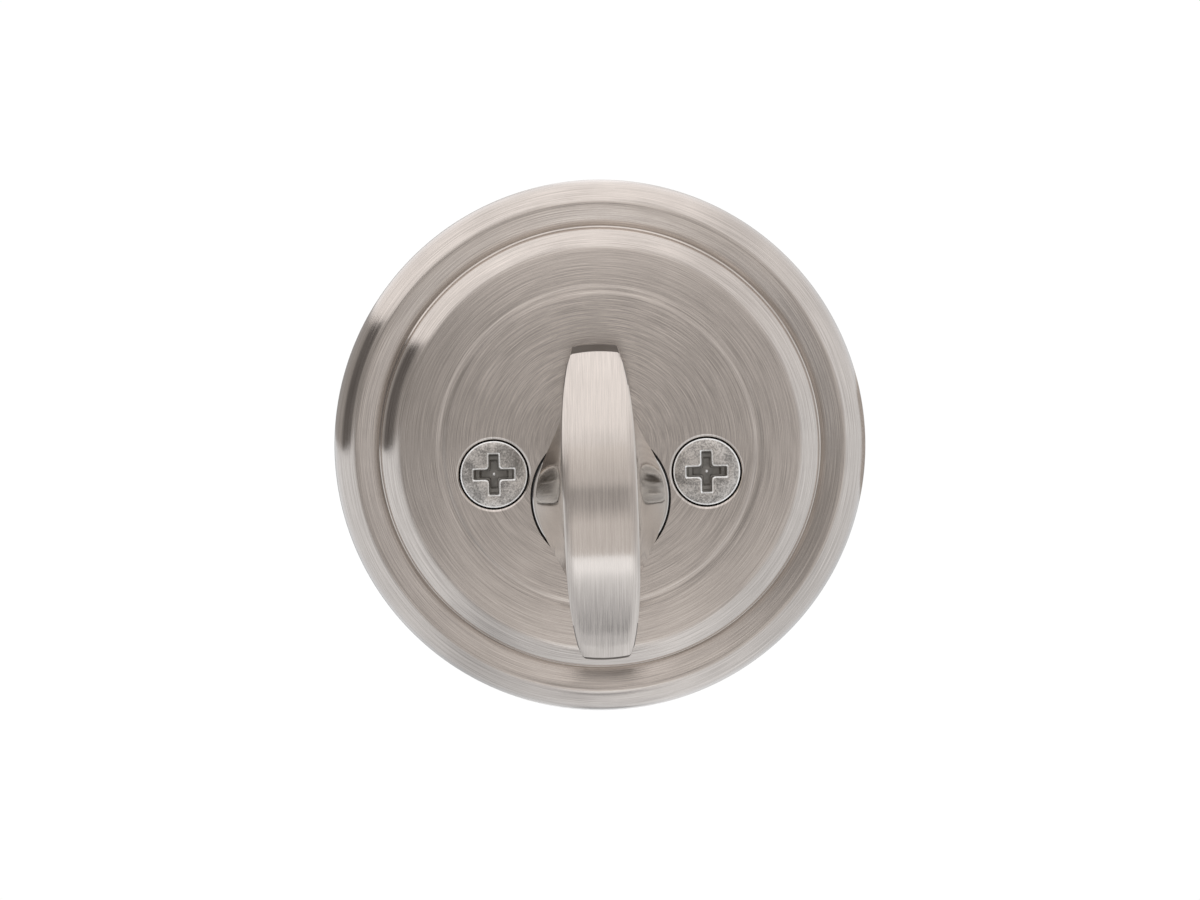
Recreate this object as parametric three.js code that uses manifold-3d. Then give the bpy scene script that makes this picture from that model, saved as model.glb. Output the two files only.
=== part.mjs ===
// Single-cylinder deadbolt door lock, built as it comes apart on a bench.
//
// Millimetres, +Z up. The origin is the centre of the door's cross bore, on the door's inside face.
// The room is at -Y, the street at +Y, and the bolt leaves the door's edge towards +X.
// Stored with the bolt drawn back and the thumb turn upright.

import * as THREE from 'three';
import { mergeVertices } from 'three/addons/utils/BufferGeometryUtils.js';
import Module from 'manifold-3d';

const wasm = await Module();
wasm.setup();

// ---------- driving dimensions ----------

const GAP = 0.3; // running and assembly clearance between neighbours
const ROUND = 32; // sides of a plain round
const SMALL = 12; // sides of a small round
const ROSE_SIDES = 48;

// door and standard spacings
const DOOR = 44.5; // door thickness
const BACKSET = 60; // bore centre to the door's edge
const TURN_DROP = 6; // the turning axis lies this far below the bore's centre
const SCREW_X = 12.85; // mounting screws either side of the centre
const SCREW_DROP = 3; // and this far below it
const THROW = 25.4; // bolt travel
const TURN_ANGLE = 91.5; // thumb turn travel, in degrees
const TURN_SLACK = 1.5; // the stored thumb turn stops this short of upright, in degrees

// the stepped roses: radius of each ring, and the height of each above the door
const ROSE = { rim: 32.5, crest: 30, valley: 27, step: 26.6, face: 24.3, groove: 19.2, wall: 1.5 };
const CREST_HEIGHT = 7.4;
const HOLLOW_HEIGHT = 6.9;
const LOW_BEAD = 4.3; // drop of the rounded outer edge
const TALL_BEAD = 2.4; // drop of the rounded edge of the raised face
const FACE_WALL = 2; // metal behind the flat face
const GROOVE_WIDTH = 1.5;
const GROOVE_DEPTH = 0.16;
const INSIDE_RISE = 12; // inside rose's face above the door
const OUTSIDE_RISE = 16; // outside rose's face above the door

// thumb turn
const HUB_RADIUS = 8.15;
const SPINDLE_RADIUS = 5.5;
const BLADE_HALF = 18.7; // half of the turn piece's length
const BLADE_THICK_HALF = 4.4; // half of its thickness in the middle
const BLADE_HEIGHT = 20; // front of the turn piece above the rose
const BLADE_BOW = 45; // radius of its bowed front
const FLARE_HEIGHT = 6.5; // the neck's sides slope outwards below this height
const FOOT_HALF = 11.5; // half of the turn piece's length where it meets the rose
const SWEEP_HEIGHT = 10; // its ends sweep outwards up to this height
const END_DRAFT = 0.11; // and lean inwards above it, by this much for each unit of height

// mounting screws
const SCREW_HEAD = 4.1;
const SCREW_SHANK = 1.95;
const SCREW_CONE = 2.5;

// bolt case and bolt
const MIDDLE = DOOR / 2; // centre plane of the bolt
const CASE_INNER = 6.4; // centre plane to the inner face of a case plate
const PLATE = 1.2;
const CASE_HALF_HEIGHT = 11.5;
const CASE_BACK = -18;
const CASE_FRONT = 28;
const TUBE_RADIUS = 12;
const TUBE_WALL = 1.1;
const BOLT_RADIUS = 10.5;
const BOLT_HALF_WIDTH = 6;
const BOLT_REAR = 24;
const BOLT_NOSE = BACKSET - 0.3;
const CORE_RADIUS = 3; // hardened pin inside the bolt
const BAR_LOW = 1.5; // draw bar, bottom and top
const BAR_TOP = 9.4;
const BAR_HALF = 3.8; // half of its width
const BAR_REAR = -17;
const BAR_FRONT = 34.2;
const RIVETS = [27.2, 31.4]; // rivets through bolt and draw bar
const RIVET_HEIGHT = 6.7;
const RIVET_HOLE = 1.6;
const FACEPLATE = { width: 25.4, height: 57.2, corner: 6.3, thick: 1.6, screw: 20.65 };

// crank: half the travel each side of upright
const CRANK_TILT = THREE.MathUtils.degToRad(TURN_ANGLE / 2);
const CRANK_LENGTH = THROW / 2 / Math.sin(CRANK_TILT);
const CRANK_PIN = 2;
const CRANK_HALF_THICK = 1.5;

// key cylinder
const PLUG_RADIUS = 6.35;
const PLUG_FRONT = DOOR + OUTSIDE_RISE + 2;
const PLUG_REAR = 35.7;
const HOUSING_REAR = 36;
const HOUSING_RADIUS = 18.8;
const PIN_RADIUS = 1.3;
const PIN_PITCH = 3.97;
const PIN_FIRST = PLUG_FRONT - 6.9; // nearest pin stack to the key's entry
// lower end of each key pin, above the plug's axis
const KEY_PIN_ENDS = [-1.3, 0.1, -0.8, 0.7, -0.2];
const CHAMBER_FLOOR = -1.9; // lower end of the pin holes in the plug, above its axis
const SHEAR = PLUG_RADIUS - TURN_DROP; // height of the shear line
const DRIVER_TOP = 4.5;
const STACK_TOP = 10.4;
const CAP_PIN_X = 5.3;

// ---------- materials ----------

const metal = (color, roughness) => new THREE.MeshStandardMaterial({ color, roughness, metalness: 1 });

const materials = {
  nickel: metal(0xb7afa8, 0.33),
  zincScrew: metal(0xb5b1aa, 0.35),
  steel: metal(0x9a9c9e, 0.4),
  darkSteel: metal(0x6d7073, 0.45),
  brass: metal(0xb9a067, 0.3),
  castZinc: metal(0x8f8f8c, 0.55),
  spring: metal(0xc4c6c8, 0.25),
  nylon: new THREE.MeshStandardMaterial({ color: 0xe6e2d6, roughness: 0.6 }),
};

// ---------- solids ----------

// Turn the faces outwards, merge the shared corners, and hand the mesh over as a solid.
function solid(geometry) {
  const bare = geometry.clone();
  bare.deleteAttribute('normal');
  bare.deleteAttribute('uv');
  const merged = mergeVertices(bare, 1e-5);
  const vertProperties = new Float32Array(merged.attributes.position.array);
  const triVerts = new Uint32Array(merged.index.array);
  if (signedVolume(vertProperties, triVerts) < 0) triVerts.reverse();
  return new wasm.Manifold(new wasm.Mesh({ numProp: 3, vertProperties, triVerts }));
}

function signedVolume(positions, corners) {
  const at = (i) => new THREE.Vector3().fromArray(positions, 3 * corners[i]);
  let volume = 0;
  for (let i = 0; i < corners.length; i += 3) {
    volume += at(i).dot(at(i + 1).cross(at(i + 2))) / 6;
  }
  return volume;
}

const join = (first, ...rest) => rest.reduce((whole, more) => whole.add(more), first);
const cut = (first, ...rest) => rest.reduce((whole, less) => whole.subtract(less), first);

// round bars along Y and along X
function roundY(radius, from, to, x = 0, z = 0, sides = ROUND) {
  return taperY(radius, radius, from, to, x, z, sides);
}

function taperY(radiusFrom, radiusTo, from, to, x = 0, z = 0, sides = ROUND) {
  const geometry = new THREE.CylinderGeometry(radiusTo, radiusFrom, to - from, sides);
  return solid(geometry.translate(x, (from + to) / 2, z));
}

function taperX(radiusFrom, radiusTo, from, to, y, z, sides = ROUND) {
  const geometry = new THREE.CylinderGeometry(radiusTo, radiusFrom, to - from, sides);
  return solid(geometry.rotateZ(-Math.PI / 2).translate((from + to) / 2, y, z));
}

const roundX = (radius, from, to, y, z, sides) => taperX(radius, radius, from, to, y, z, sides);

function roundZ(radius, from, to, x, y, sides = SMALL) {
  const geometry = new THREE.CylinderGeometry(radius, radius, to - from, sides);
  return solid(geometry.rotateX(Math.PI / 2).translate(x, y, (from + to) / 2));
}

function block(x0, x1, y0, y1, z0, z1) {
  const geometry = new THREE.BoxGeometry(x1 - x0, y1 - y0, z1 - z0);
  return solid(geometry.translate((x0 + x1) / 2, (y0 + y1) / 2, (z0 + z1) / 2));
}

// a body of revolution about a line along Y; points are [radius, y]
function turned(points, x = 0, z = 0, sides = ROUND) {
  const profile = points.map(([radius, y]) => new THREE.Vector2(radius, y));
  return solid(new THREE.LatheGeometry(profile, sides).translate(x, 0, z));
}

// a flat outline drawn in X and Z, given a thickness along Y
function plateY(shape, from, to, curveSegments = 4) {
  const geometry = new THREE.ExtrudeGeometry(shape, { depth: to - from, bevelEnabled: false, curveSegments });
  return solid(geometry.rotateX(Math.PI / 2).translate(0, to, 0));
}

// a flat outline drawn in Y and Z, given a thickness along X
function plateX(shape, from, to, curveSegments = 4) {
  const geometry = new THREE.ExtrudeGeometry(shape, { depth: to - from, bevelEnabled: false, curveSegments });
  const turn = new THREE.Matrix4().makeBasis(
    new THREE.Vector3(0, 1, 0),
    new THREE.Vector3(0, 0, 1),
    new THREE.Vector3(1, 0, 0),
  );
  return solid(geometry.applyMatrix4(turn).translate(from, 0, 0));
}

function outline(points) {
  return new THREE.Shape(points.map(([a, b]) => new THREE.Vector2(a, b)));
}

// a skin over closed rings of equally many points, closed at both ends
function loft(rings) {
  const count = rings[0].length;
  const centre = (ring) => ring.reduce((sum, p) => sum.addScaledVector(p, 1 / count), new THREE.Vector3());
  const points = [...rings.flat(), centre(rings[0]), centre(rings.at(-1))];
  const index = [];
  for (let i = 0; i < count; i += 1) {
    const next = (i + 1) % count;
    for (let level = 0; level + 1 < rings.length; level += 1) {
      const low = level * count;
      const high = low + count;
      index.push(low + i, low + next, high + next, low + i, high + next, high + i);
    }
    const top = (rings.length - 1) * count;
    index.push(points.length - 2, next, i, points.length - 1, top + i, top + next);
  }
  const geometry = new THREE.BufferGeometry().setFromPoints(points);
  geometry.setIndex(index);
  return solid(geometry);
}

const lock = new THREE.Group();

function piece(name, manifold, material, parent = lock) {
  const { vertProperties, triVerts } = manifold.getMesh();
  const geometry = new THREE.BufferGeometry();
  geometry.setAttribute('position', new THREE.BufferAttribute(new Float32Array(vertProperties), 3));
  geometry.setIndex(new THREE.BufferAttribute(new Uint32Array(triVerts), 1));
  geometry.computeVertexNormals();
  const mesh = new THREE.Mesh(geometry, material);
  mesh.name = name;
  parent.add(mesh);
  return mesh;
}

// ---------- roses ----------

// Outer face of a rose from its axis to its rim, as [radius, height above the door].
// A rounded rim, a shallow cone falling inwards, and a rounded step up to the flat face.
function roseFace(rise) {
  const { rim, crest, valley, step, face, groove } = ROSE;
  const steps = 3;
  const arc = (place) => Array.from({ length: steps + 1 }, (_, i) => place((i / steps) * Math.PI / 2));
  const stepTop = rise - 0.3;
  return [
    [0, rise],
    [groove - GROOVE_WIDTH / 2, rise],
    [groove, rise - GROOVE_DEPTH],
    [groove + GROOVE_WIDTH / 2, rise],
    ...arc((a) => [face + (step - face) * Math.sin(a), stepTop - TALL_BEAD * (1 - Math.cos(a))]),
    [step, HOLLOW_HEIGHT],
    [valley, HOLLOW_HEIGHT],
    ...arc((a) => [crest + (rim - crest) * Math.sin(a), CREST_HEIGHT - LOW_BEAD * (1 - Math.cos(a))]),
    [rim, 0],
  ];
}

// The shell behind that face, open to the door.
function roseShell(rise) {
  const { rim, step, wall } = ROSE;
  return [
    ...roseFace(rise),
    [rim - wall, 0],
    [rim - wall, HOLLOW_HEIGHT - wall],
    [step - wall, HOLLOW_HEIGHT - wall],
    [step - wall, rise - FACE_WALL - 1.5],
    [step - wall - 2, rise - FACE_WALL],
    [0, rise - FACE_WALL],
  ];
}

const inward = (points) => points.map(([radius, height]) => [radius, -height]);
const outward = (points) => points.map(([radius, height]) => [radius, DOOR + height]);

function mountingScrews() {
  return [-SCREW_X, SCREW_X];
}

function insideRose() {
  const hole = HUB_RADIUS + GAP;
  const pocket = 10;
  const bossDepth = 3.6;
  let rose = turned(inward(roseShell(INSIDE_RISE)), 0, 0, ROSE_SIDES);
  for (const x of mountingScrews()) {
    rose = join(rose, roundY(5.2, -INSIDE_RISE + 0.5, -INSIDE_RISE + bossDepth, x, -SCREW_DROP));
  }
  rose = cut(
    rose,
    roundY(hole, -INSIDE_RISE - 1, 1, 0, -TURN_DROP),
    roundY(pocket, -INSIDE_RISE + FACE_WALL, 1, 0, -TURN_DROP),
  );
  for (const x of mountingScrews()) {
    const rim = SCREW_HEAD + 0.2;
    const cone = SCREW_CONE + 0.15;
    rose = cut(
      rose,
      roundY(SCREW_SHANK + GAP, -INSIDE_RISE - 1, 1, x, -SCREW_DROP, SMALL),
      taperY(rim, SCREW_SHANK + GAP, -INSIDE_RISE, -INSIDE_RISE + cone, x, -SCREW_DROP, 24),
      roundY(rim, -INSIDE_RISE - 1, -INSIDE_RISE, x, -SCREW_DROP, 24),
    );
  }
  piece('inside_rose', rose, materials.nickel);
}

function insideMountingPlate() {
  const plate = turned([[0, -1.5], [29.8, -1.5], [29.8, 0], [0, 0]]);
  const holes = mountingScrews().map((x) => roundY(2.4, -2, 1, x, -SCREW_DROP, SMALL));
  piece('inside_mounting_plate', cut(plate, roundY(7.5, -2, 1, 0, -TURN_DROP), ...holes), materials.steel);
}

function turnBushing() {
  const bushing = turned(
    [[5.8, -3.3], [9, -3.3], [9, -1.8], [7.2, -1.8], [7.2, 1.5], [5.8, 1.5], [5.8, -3.3]],
    0,
    -TURN_DROP,
  );
  piece('turn_bushing', bushing, materials.nylon);
}

// Flat-headed machine screw from the inside rose, through the bolt case, into the cylinder housing.
function mountingScrew(name, x) {
  const front = -INSIDE_RISE;
  const end = DOOR - 0.5;
  const profile = [
    [0, front],
    [SCREW_HEAD, front],
    [SCREW_SHANK, front + SCREW_CONE],
    [SCREW_SHANK, end - 1],
    [1.2, end],
    [0, end],
  ];
  const body = turned(profile, x, -SCREW_DROP, 24);
  const arm = 0.65;
  const reach = 2.7;
  const depth = 1.9;
  const recess = join(
    block(x - arm, x + arm, front - 1, front + depth, -SCREW_DROP - reach, -SCREW_DROP + reach),
    block(x - reach, x + reach, front - 1, front + depth, -SCREW_DROP - arm, -SCREW_DROP + arm),
  );
  piece(name, cut(body, recess), materials.zincScrew);
}

// ---------- thumb turn ----------

const turnGroup = new THREE.Group();
turnGroup.position.set(0, 0, -TURN_DROP);
turnGroup.rotation.y = -THREE.MathUtils.degToRad(TURN_SLACK);
lock.add(turnGroup);

// Half-width of the turn piece at a distance t along it: a leaf, widest in the middle.
function leafHalfWidth(t) {
  return BLADE_THICK_HALF - 1.6 * (Math.abs(t) / 18) ** 3.6;
}

// Extra half-width of the sloping neck at t, at a height above the rose.
function neckFlare(t, height) {
  const along = Math.max(0, 1 - (t / 11) ** 2) ** 2;
  const up = Math.max(0, 1 - height / FLARE_HEIGHT) ** 1.5;
  return 3.8 * along * up;
}

function turnSection(height) {
  const steps = 12;
  const sweep = Math.min(1, height / SWEEP_HEIGHT) ** 1.5;
  const draft = END_DRAFT * Math.max(0, height - SWEEP_HEIGHT);
  const half = FOOT_HALF + (BLADE_HALF - FOOT_HALF) * sweep - draft;
  const side = Array.from({ length: steps + 1 }, (_, i) => -half * Math.cos((Math.PI * i) / steps));
  const ring = side.map((t) => [leafHalfWidth(t) + neckFlare(t, height), t]);
  const back = [...ring].reverse().map(([x, t]) => [-x, t]);
  return [...ring, ...back].map(([x, t]) => new THREE.Vector3(x, -INSIDE_RISE - height, t));
}

function thumbTurn() {
  const heights = [GAP, 1.6, 3.2, 4.8, FLARE_HEIGHT, 8, SWEEP_HEIGHT, BLADE_HEIGHT + 1];
  const blade = loft(heights.map(turnSection));
  const bowCentre = -INSIDE_RISE - BLADE_HEIGHT + BLADE_BOW;
  const bow = roundX(BLADE_BOW, -15, 15, bowCentre, 0, 96);
  const groove = turned([[7.4, -9.2], [9, -9.2], [9, -7.8], [7.4, -7.8], [7.4, -9.2]]);
  const hub = roundY(HUB_RADIUS, -INSIDE_RISE - 0.6, -6.5);
  const spindle = roundY(SPINDLE_RADIUS, -7, 4);
  const slot = block(-1.3, 1.3, -5.3, 5, -3.8, 3.8);
  const turn = cut(join(blade.intersect(bow), hub, spindle), groove, slot);
  piece('thumb_turn', turn, materials.nickel, turnGroup);
}

function turnWasher() {
  const washer = turned([[8.5, -9.7], [9.6, -9.7], [9.6, -9.45], [8.5, -9.45], [8.5, -9.7]]);
  piece('turn_washer', washer, materials.spring, turnGroup);
}

function turnRetainingRing() {
  const ring = turned([[7.7, -8.9], [9.4, -8.9], [9.4, -8.1], [7.7, -8.1], [7.7, -8.9]]);
  const mouth = block(-3, 3, -10, -7, -11, -5);
  piece('turn_retaining_ring', cut(ring, mouth), materials.darkSteel, turnGroup);
}

// Flat bar that carries the turn from the thumb turn through the crank to the key cylinder.
function tailBlade() {
  piece('tail_blade', block(-1, 1, -5, 34.6, -3.5, 3.5), materials.steel, turnGroup);
}

// ---------- bolt case ----------

// The case, crank and bolt are drawn about the centre plane of the door and moved there.
const caseGroup = new THREE.Group();
caseGroup.position.set(0, MIDDLE, 0);
lock.add(caseGroup);

const SPACERS = [[-15.5, -8.8], [10, -9.3], [21, -8.8]];

// one side of the bolt case, with a tongue that reaches into the tube
function casePlate(name, side) {
  const low = -CASE_HALF_HEIGHT;
  const tongue = 6.5;
  const plan = outline([
    [CASE_BACK, low],
    [CASE_FRONT, low],
    [CASE_FRONT, -tongue],
    [CASE_FRONT + 8, -tongue],
    [CASE_FRONT + 8, tongue],
    [CASE_FRONT, tongue],
    [CASE_FRONT, CASE_HALF_HEIGHT],
    [CASE_BACK + 4, CASE_HALF_HEIGHT],
    [CASE_BACK, CASE_HALF_HEIGHT - 4],
  ]);
  const [from, to] = side > 0 ? [CASE_INNER, CASE_INNER + PLATE] : [-CASE_INNER - PLATE, -CASE_INNER];
  const holes = [
    roundY(5.2, from - 1, to + 1, 0, -TURN_DROP),
    ...mountingScrews().map((x) => roundY(3, from - 1, to + 1, x, -SCREW_DROP, SMALL)),
    ...SPACERS.map(([x, z]) => roundY(1.6, from - 1, to + 1, x, z, SMALL)),
  ];
  piece(name, cut(plateY(plan, from, to), ...holes), materials.steel, caseGroup);
}

function caseSpacer(name, [x, z]) {
  const inner = CASE_INNER - GAP;
  const outer = CASE_INNER + PLATE + GAP;
  const head = outer + 0.8;
  const half = [[2, 0], [2, inner], [1.3, inner], [1.3, outer], [2.3, outer], [1.6, head], [0, head]];
  const mirrored = [...half].reverse().map(([radius, y]) => [radius, -y]);
  piece(name, turned([...mirrored, ...half.slice(1)], x, z, SMALL), materials.steel, caseGroup);
}

function boltTube() {
  const inner = TUBE_RADIUS - TUBE_WALL;
  const end = BACKSET - FACEPLATE.thick - GAP - PLATE - GAP;
  const tube = roundX(TUBE_RADIUS, CASE_FRONT + GAP, end, 0, 0);
  piece('bolt_tube', cut(tube, roundX(inner, CASE_FRONT, end + 1, 0, 0)), materials.steel, caseGroup);
}

// a round with two flats, drawn in Y and Z
function boltOutline(radius, halfWidth) {
  const flat = Math.acos(halfWidth / radius);
  const shape = new THREE.Shape();
  shape.absarc(0, 0, radius, flat, Math.PI - flat, false);
  shape.absarc(0, 0, radius, Math.PI + flat, -flat, false);
  shape.closePath();
  return shape;
}

function edgePlateOutline(width, height, corner) {
  const [w, h] = [width / 2 - corner, height / 2 - corner];
  const shape = new THREE.Shape();
  shape.absarc(w, h, corner, 0, Math.PI / 2, false);
  shape.absarc(-w, h, corner, Math.PI / 2, Math.PI, false);
  shape.absarc(-w, -h, corner, Math.PI, 1.5 * Math.PI, false);
  shape.absarc(w, -h, corner, 1.5 * Math.PI, 2 * Math.PI, false);
  shape.closePath();
  return shape;
}

function edgePlates() {
  const { width, height, corner, thick, screw } = FACEPLATE;
  const back = BACKSET - thick;
  const mouth = plateX(boltOutline(BOLT_RADIUS + 0.4, BOLT_HALF_WIDTH + 0.4), 50, 70);
  let plate = plateX(edgePlateOutline(width, height, corner), back, BACKSET);
  const backingOutline = edgePlateOutline(width - 2.4, height - 2.4, corner - 1.2);
  let backing = plateX(backingOutline, back - GAP - PLATE, back - GAP);
  for (const z of [-screw, screw]) {
    plate = cut(plate, taperX(2.6, 4.2, back, BACKSET + 0.01, 0, z, 28));
    plate = cut(plate, roundX(2.6, back - 1, BACKSET, 0, z, 28));
    backing = cut(backing, roundX(3.2, 50, 70, 0, z, 28));
  }
  piece('faceplate', cut(plate, mouth), materials.nickel, caseGroup);
  piece('faceplate_backing', cut(backing, mouth), materials.steel, caseGroup);
}

function faceplateScrew(name, z) {
  const head = BACKSET - 0.1;
  const length = 19;
  const screw = join(
    taperX(1.8, 3.9, head - 2.3, head, 0, z, 24),
    roundX(1.8, head - length + 4, head - 2, 0, z, 24),
    taperX(0.3, 1.8, head - length, head - length + 4, 0, z, 24),
  );
  const recess = join(
    block(head - 1.5, head + 1, -0.55, 0.55, z - 2.1, z + 2.1),
    block(head - 1.5, head + 1, -2.1, 2.1, z - 0.55, z + 0.55),
  );
  piece(name, cut(screw, recess), materials.zincScrew, caseGroup);
}

// ---------- crank ----------

function crank() {
  const journal = CASE_INNER + PLATE + GAP;
  const hub = join(roundY(5.2, -5.9, 5.9), roundY(4.8, -journal, journal));
  const slot = block(-1.25, 1.25, -10, 10, -3.75, 3.75);
  const arm = join(
    block(-3, 3, -CRANK_HALF_THICK, CRANK_HALF_THICK, 0, CRANK_LENGTH),
    roundY(3.4, -CRANK_HALF_THICK, CRANK_HALF_THICK, 0, CRANK_LENGTH, 24),
  );
  const eye = roundY(CRANK_PIN + GAP, -5, 5, 0, CRANK_LENGTH, SMALL);
  const holder = new THREE.Group();
  holder.position.set(0, 0, -TURN_DROP);
  caseGroup.add(holder);
  const tilted = (solidPart) => solidPart.rotate([0, -THREE.MathUtils.radToDeg(CRANK_TILT), 0]);
  const bladeLean = -TURN_SLACK;
  const body = cut(join(hub, tilted(arm)), tilted(eye), slot.rotate([0, bladeLean, 0]));
  piece('crank', body, materials.darkSteel, holder);
  const half = 4.4;
  piece('crank_pin', tilted(roundY(CRANK_PIN, -half, half, 0, CRANK_LENGTH, SMALL)), materials.steel, holder);
}

// ---------- bolt ----------

function bolt() {
  const body = plateX(boltOutline(BOLT_RADIUS, BOLT_HALF_WIDTH), BOLT_REAR, BOLT_NOSE);
  const core = roundX(CORE_RADIUS + GAP, BOLT_REAR - 1, BOLT_NOSE - 4, 0, 0, 28);
  const seat = block(BOLT_REAR - 1, 34.5, -4.1, 4.1, 4.2, 12);
  piece('bolt', cut(body, core, seat, ...rivetHoles()), materials.brass, caseGroup);
}

function rivetHoles() {
  return RIVETS.map((x) => roundY(RIVET_HOLE, -8, 8, x, RIVET_HEIGHT, SMALL));
}

function boltCore() {
  const core = roundX(CORE_RADIUS, BOLT_REAR + 3, BOLT_NOSE - 4.5, 0, 0, 28);
  piece('bolt_hard_pin', core, materials.darkSteel, caseGroup);
}

// Forked bar that the crank pin pushes: two side plates joined where they enter the bolt.
function drawBar() {
  const pinX = -THROW / 2;
  const pinLow = CRANK_LENGTH * Math.cos(CRANK_TILT) - TURN_DROP;
  const slotHalf = 2.8;
  const foot = block(BAR_REAR, BOLT_REAR - 0.6, -BAR_HALF, BAR_HALF, BAR_LOW, BAR_TOP);
  const head = block(BOLT_REAR - 1.7, BAR_FRONT, -BAR_HALF, BAR_HALF, 4.5, BAR_TOP);
  const forkHalf = CRANK_HALF_THICK + GAP;
  const fork = block(BAR_REAR - 1, 22, -forkHalf, forkHalf, 0, 12);
  const slotFloor = pinLow + slotHalf - CRANK_PIN - 0.5;
  const slot = join(
    roundY(slotHalf, -BAR_HALF - 1, BAR_HALF + 1, pinX, slotFloor, 24),
    block(pinX - slotHalf, pinX + slotHalf, -BAR_HALF - 1, BAR_HALF + 1, slotFloor, 14),
  );
  piece('draw_bar', cut(join(foot, head), fork, slot, ...rivetHoles()), materials.steel, caseGroup);
}

function drawBarRivet(name, x) {
  const reach = BOLT_HALF_WIDTH - 0.1;
  piece(name, roundY(1.3, -reach, reach, x, RIVET_HEIGHT, SMALL), materials.darkSteel, caseGroup);
}

// ---------- outside half ----------

const pinPlaces = Array.from({ length: KEY_PIN_ENDS.length }, (_, i) => PIN_FIRST - i * PIN_PITCH);

function outsideRose() {
  const shell = turned(outward(roseShell(OUTSIDE_RISE)), 0, 0, ROSE_SIDES);
  piece('outside_rose', cut(shell, roundY(17.6, DOOR - 1, DOOR + OUTSIDE_RISE + 1)), materials.nickel);
}

function outsideSupportPlate() {
  const ring = turned([[17.6, DOOR], [29.8, DOOR], [29.8, DOOR + 1.5], [17.6, DOOR + 1.5], [17.6, DOOR]]);
  piece('outside_support_plate', ring, materials.steel);
}

function cylinderHousing() {
  const face = DOOR + OUTSIDE_RISE;
  const flange = turned([
    [0, face + GAP],
    [HOUSING_RADIUS, face + GAP],
    [HOUSING_RADIUS, face + 1.4],
    [HOUSING_RADIUS - 0.6, face + 2],
    [0, face + 2],
  ]);
  const spigot = cut(roundY(17.2, DOOR + 2, face + 1), roundY(15.6, DOOR, face - 3));
  const shell = roundY(9.4, HOUSING_REAR, face + 1, 0, -TURN_DROP);
  const column = block(-4.4, 4.4, HOUSING_REAR, face + 1, -TURN_DROP, STACK_TOP + 1.2);
  const bosses = mountingScrews().map((x) => roundY(3.5, 31.6, face + 1, x, -SCREW_DROP, 28));
  const webs = block(-SCREW_X, SCREW_X, HOUSING_REAR + 4, face + 1, -SCREW_DROP - 1, -SCREW_DROP + 1);
  const thread = (x) => roundY(SCREW_SHANK + GAP, 31, DOOR + 1.5, x, -SCREW_DROP, SMALL);
  const bore = roundY(PLUG_RADIUS + 0.15, 30, face + 3, 0, -TURN_DROP);
  const counterbore = roundY(7.7, face + 0.6, face + 3, 0, -TURN_DROP);
  const chambers = pinPlaces.map((y) => roundZ(PIN_RADIUS + 0.25, -TURN_DROP, STACK_TOP + 3, 0, y));
  const coverSeat = block(-2.6, 2.6, pinPlaces.at(-1) - 2.6, PIN_FIRST + 2.6, STACK_TOP + 0.2, STACK_TOP + 3);
  const body = join(flange, spigot, shell, column, webs, ...bosses);
  const holes = [bore, counterbore, coverSeat, ...mountingScrews().map(thread), ...chambers];
  piece('cylinder_housing', cut(body, ...holes), materials.castZinc);
}

function chamberCover() {
  const margin = 2.3;
  const low = STACK_TOP + 0.5;
  const cover = block(-2.3, 2.3, pinPlaces.at(-1) - margin, PIN_FIRST + margin, low, low + 0.7);
  piece('chamber_cover', cover, materials.brass);
}

// driver pin above the shear line, and the coil spring over it
function driverPin(number, y) {
  piece(`driver_pin_${number}`, roundZ(PIN_RADIUS, SHEAR + 0.25, DRIVER_TOP, 0, y), materials.brass);
}

function pinSpring(number, y) {
  class Coil extends THREE.Curve {
    getPoint(t, target = new THREE.Vector3()) {
      const turns = 4.5;
      const angle = 2 * Math.PI * turns * t;
      const height = DRIVER_TOP + 0.5 + (STACK_TOP - DRIVER_TOP - 0.8) * t;
      return target.set(0.95 * Math.cos(angle), y + 0.95 * Math.sin(angle), height);
    }
  }
  const wire = new THREE.Shape().absarc(0, 0, 0.2, 0, 2 * Math.PI, false);
  const geometry = new THREE.ExtrudeGeometry(wire, { extrudePath: new Coil(), steps: 28, curveSegments: 2 });
  piece(`pin_spring_${number}`, solid(geometry), materials.spring);
}

function plug() {
  const front = DOOR + OUTSIDE_RISE + 0.9;
  const body = join(
    roundY(PLUG_RADIUS, PLUG_REAR, front + 0.2, 0, -TURN_DROP),
    roundY(7.4, front, PLUG_FRONT, 0, -TURN_DROP),
  );
  const low = -TURN_DROP;
  const keyway = plateY(
    outline([
      [-1, low - 4.4],
      [1, low - 4.4],
      [1, low - 1.4],
      [0.2, low - 0.8],
      [0.2, low + 0.4],
      [1, low + 1],
      [1, low + 3.6],
      [-1, low + 3.6],
      [-1, low - 0.2],
      [-1.6, low - 0.8],
      [-1.6, low - 2],
      [-1, low - 2.6],
    ]),
    PLUG_REAR - 1,
    PLUG_FRONT + 1,
  );
  const chambers = pinPlaces.map((y) => roundZ(PIN_RADIUS + 0.25, low + CHAMBER_FLOOR, 2, 0, y));
  const capPinHole = roundY(0.8, PLUG_REAR - 1, PLUG_REAR + 2, CAP_PIN_X, low, SMALL);
  piece('plug', cut(body, keyway, capPinHole, ...chambers), materials.brass);
}

function keyPin(number, y) {
  const low = KEY_PIN_ENDS[number - 1] - TURN_DROP;
  const tip = 1;
  const pin = new THREE.CylinderGeometry(PIN_RADIUS, PIN_RADIUS, SHEAR - 0.2 - low - tip, SMALL);
  const point = new THREE.CylinderGeometry(PIN_RADIUS, 0.4, tip, SMALL);
  pin.translate(0, (SHEAR - 0.2 + low + tip) / 2, 0);
  point.translate(0, low + tip / 2, 0);
  const upright = (geometry) => solid(geometry.rotateX(Math.PI / 2).translate(0, y, 0));
  piece(`key_pin_${number}`, join(upright(pin), upright(point)), materials.brass);
}

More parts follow.
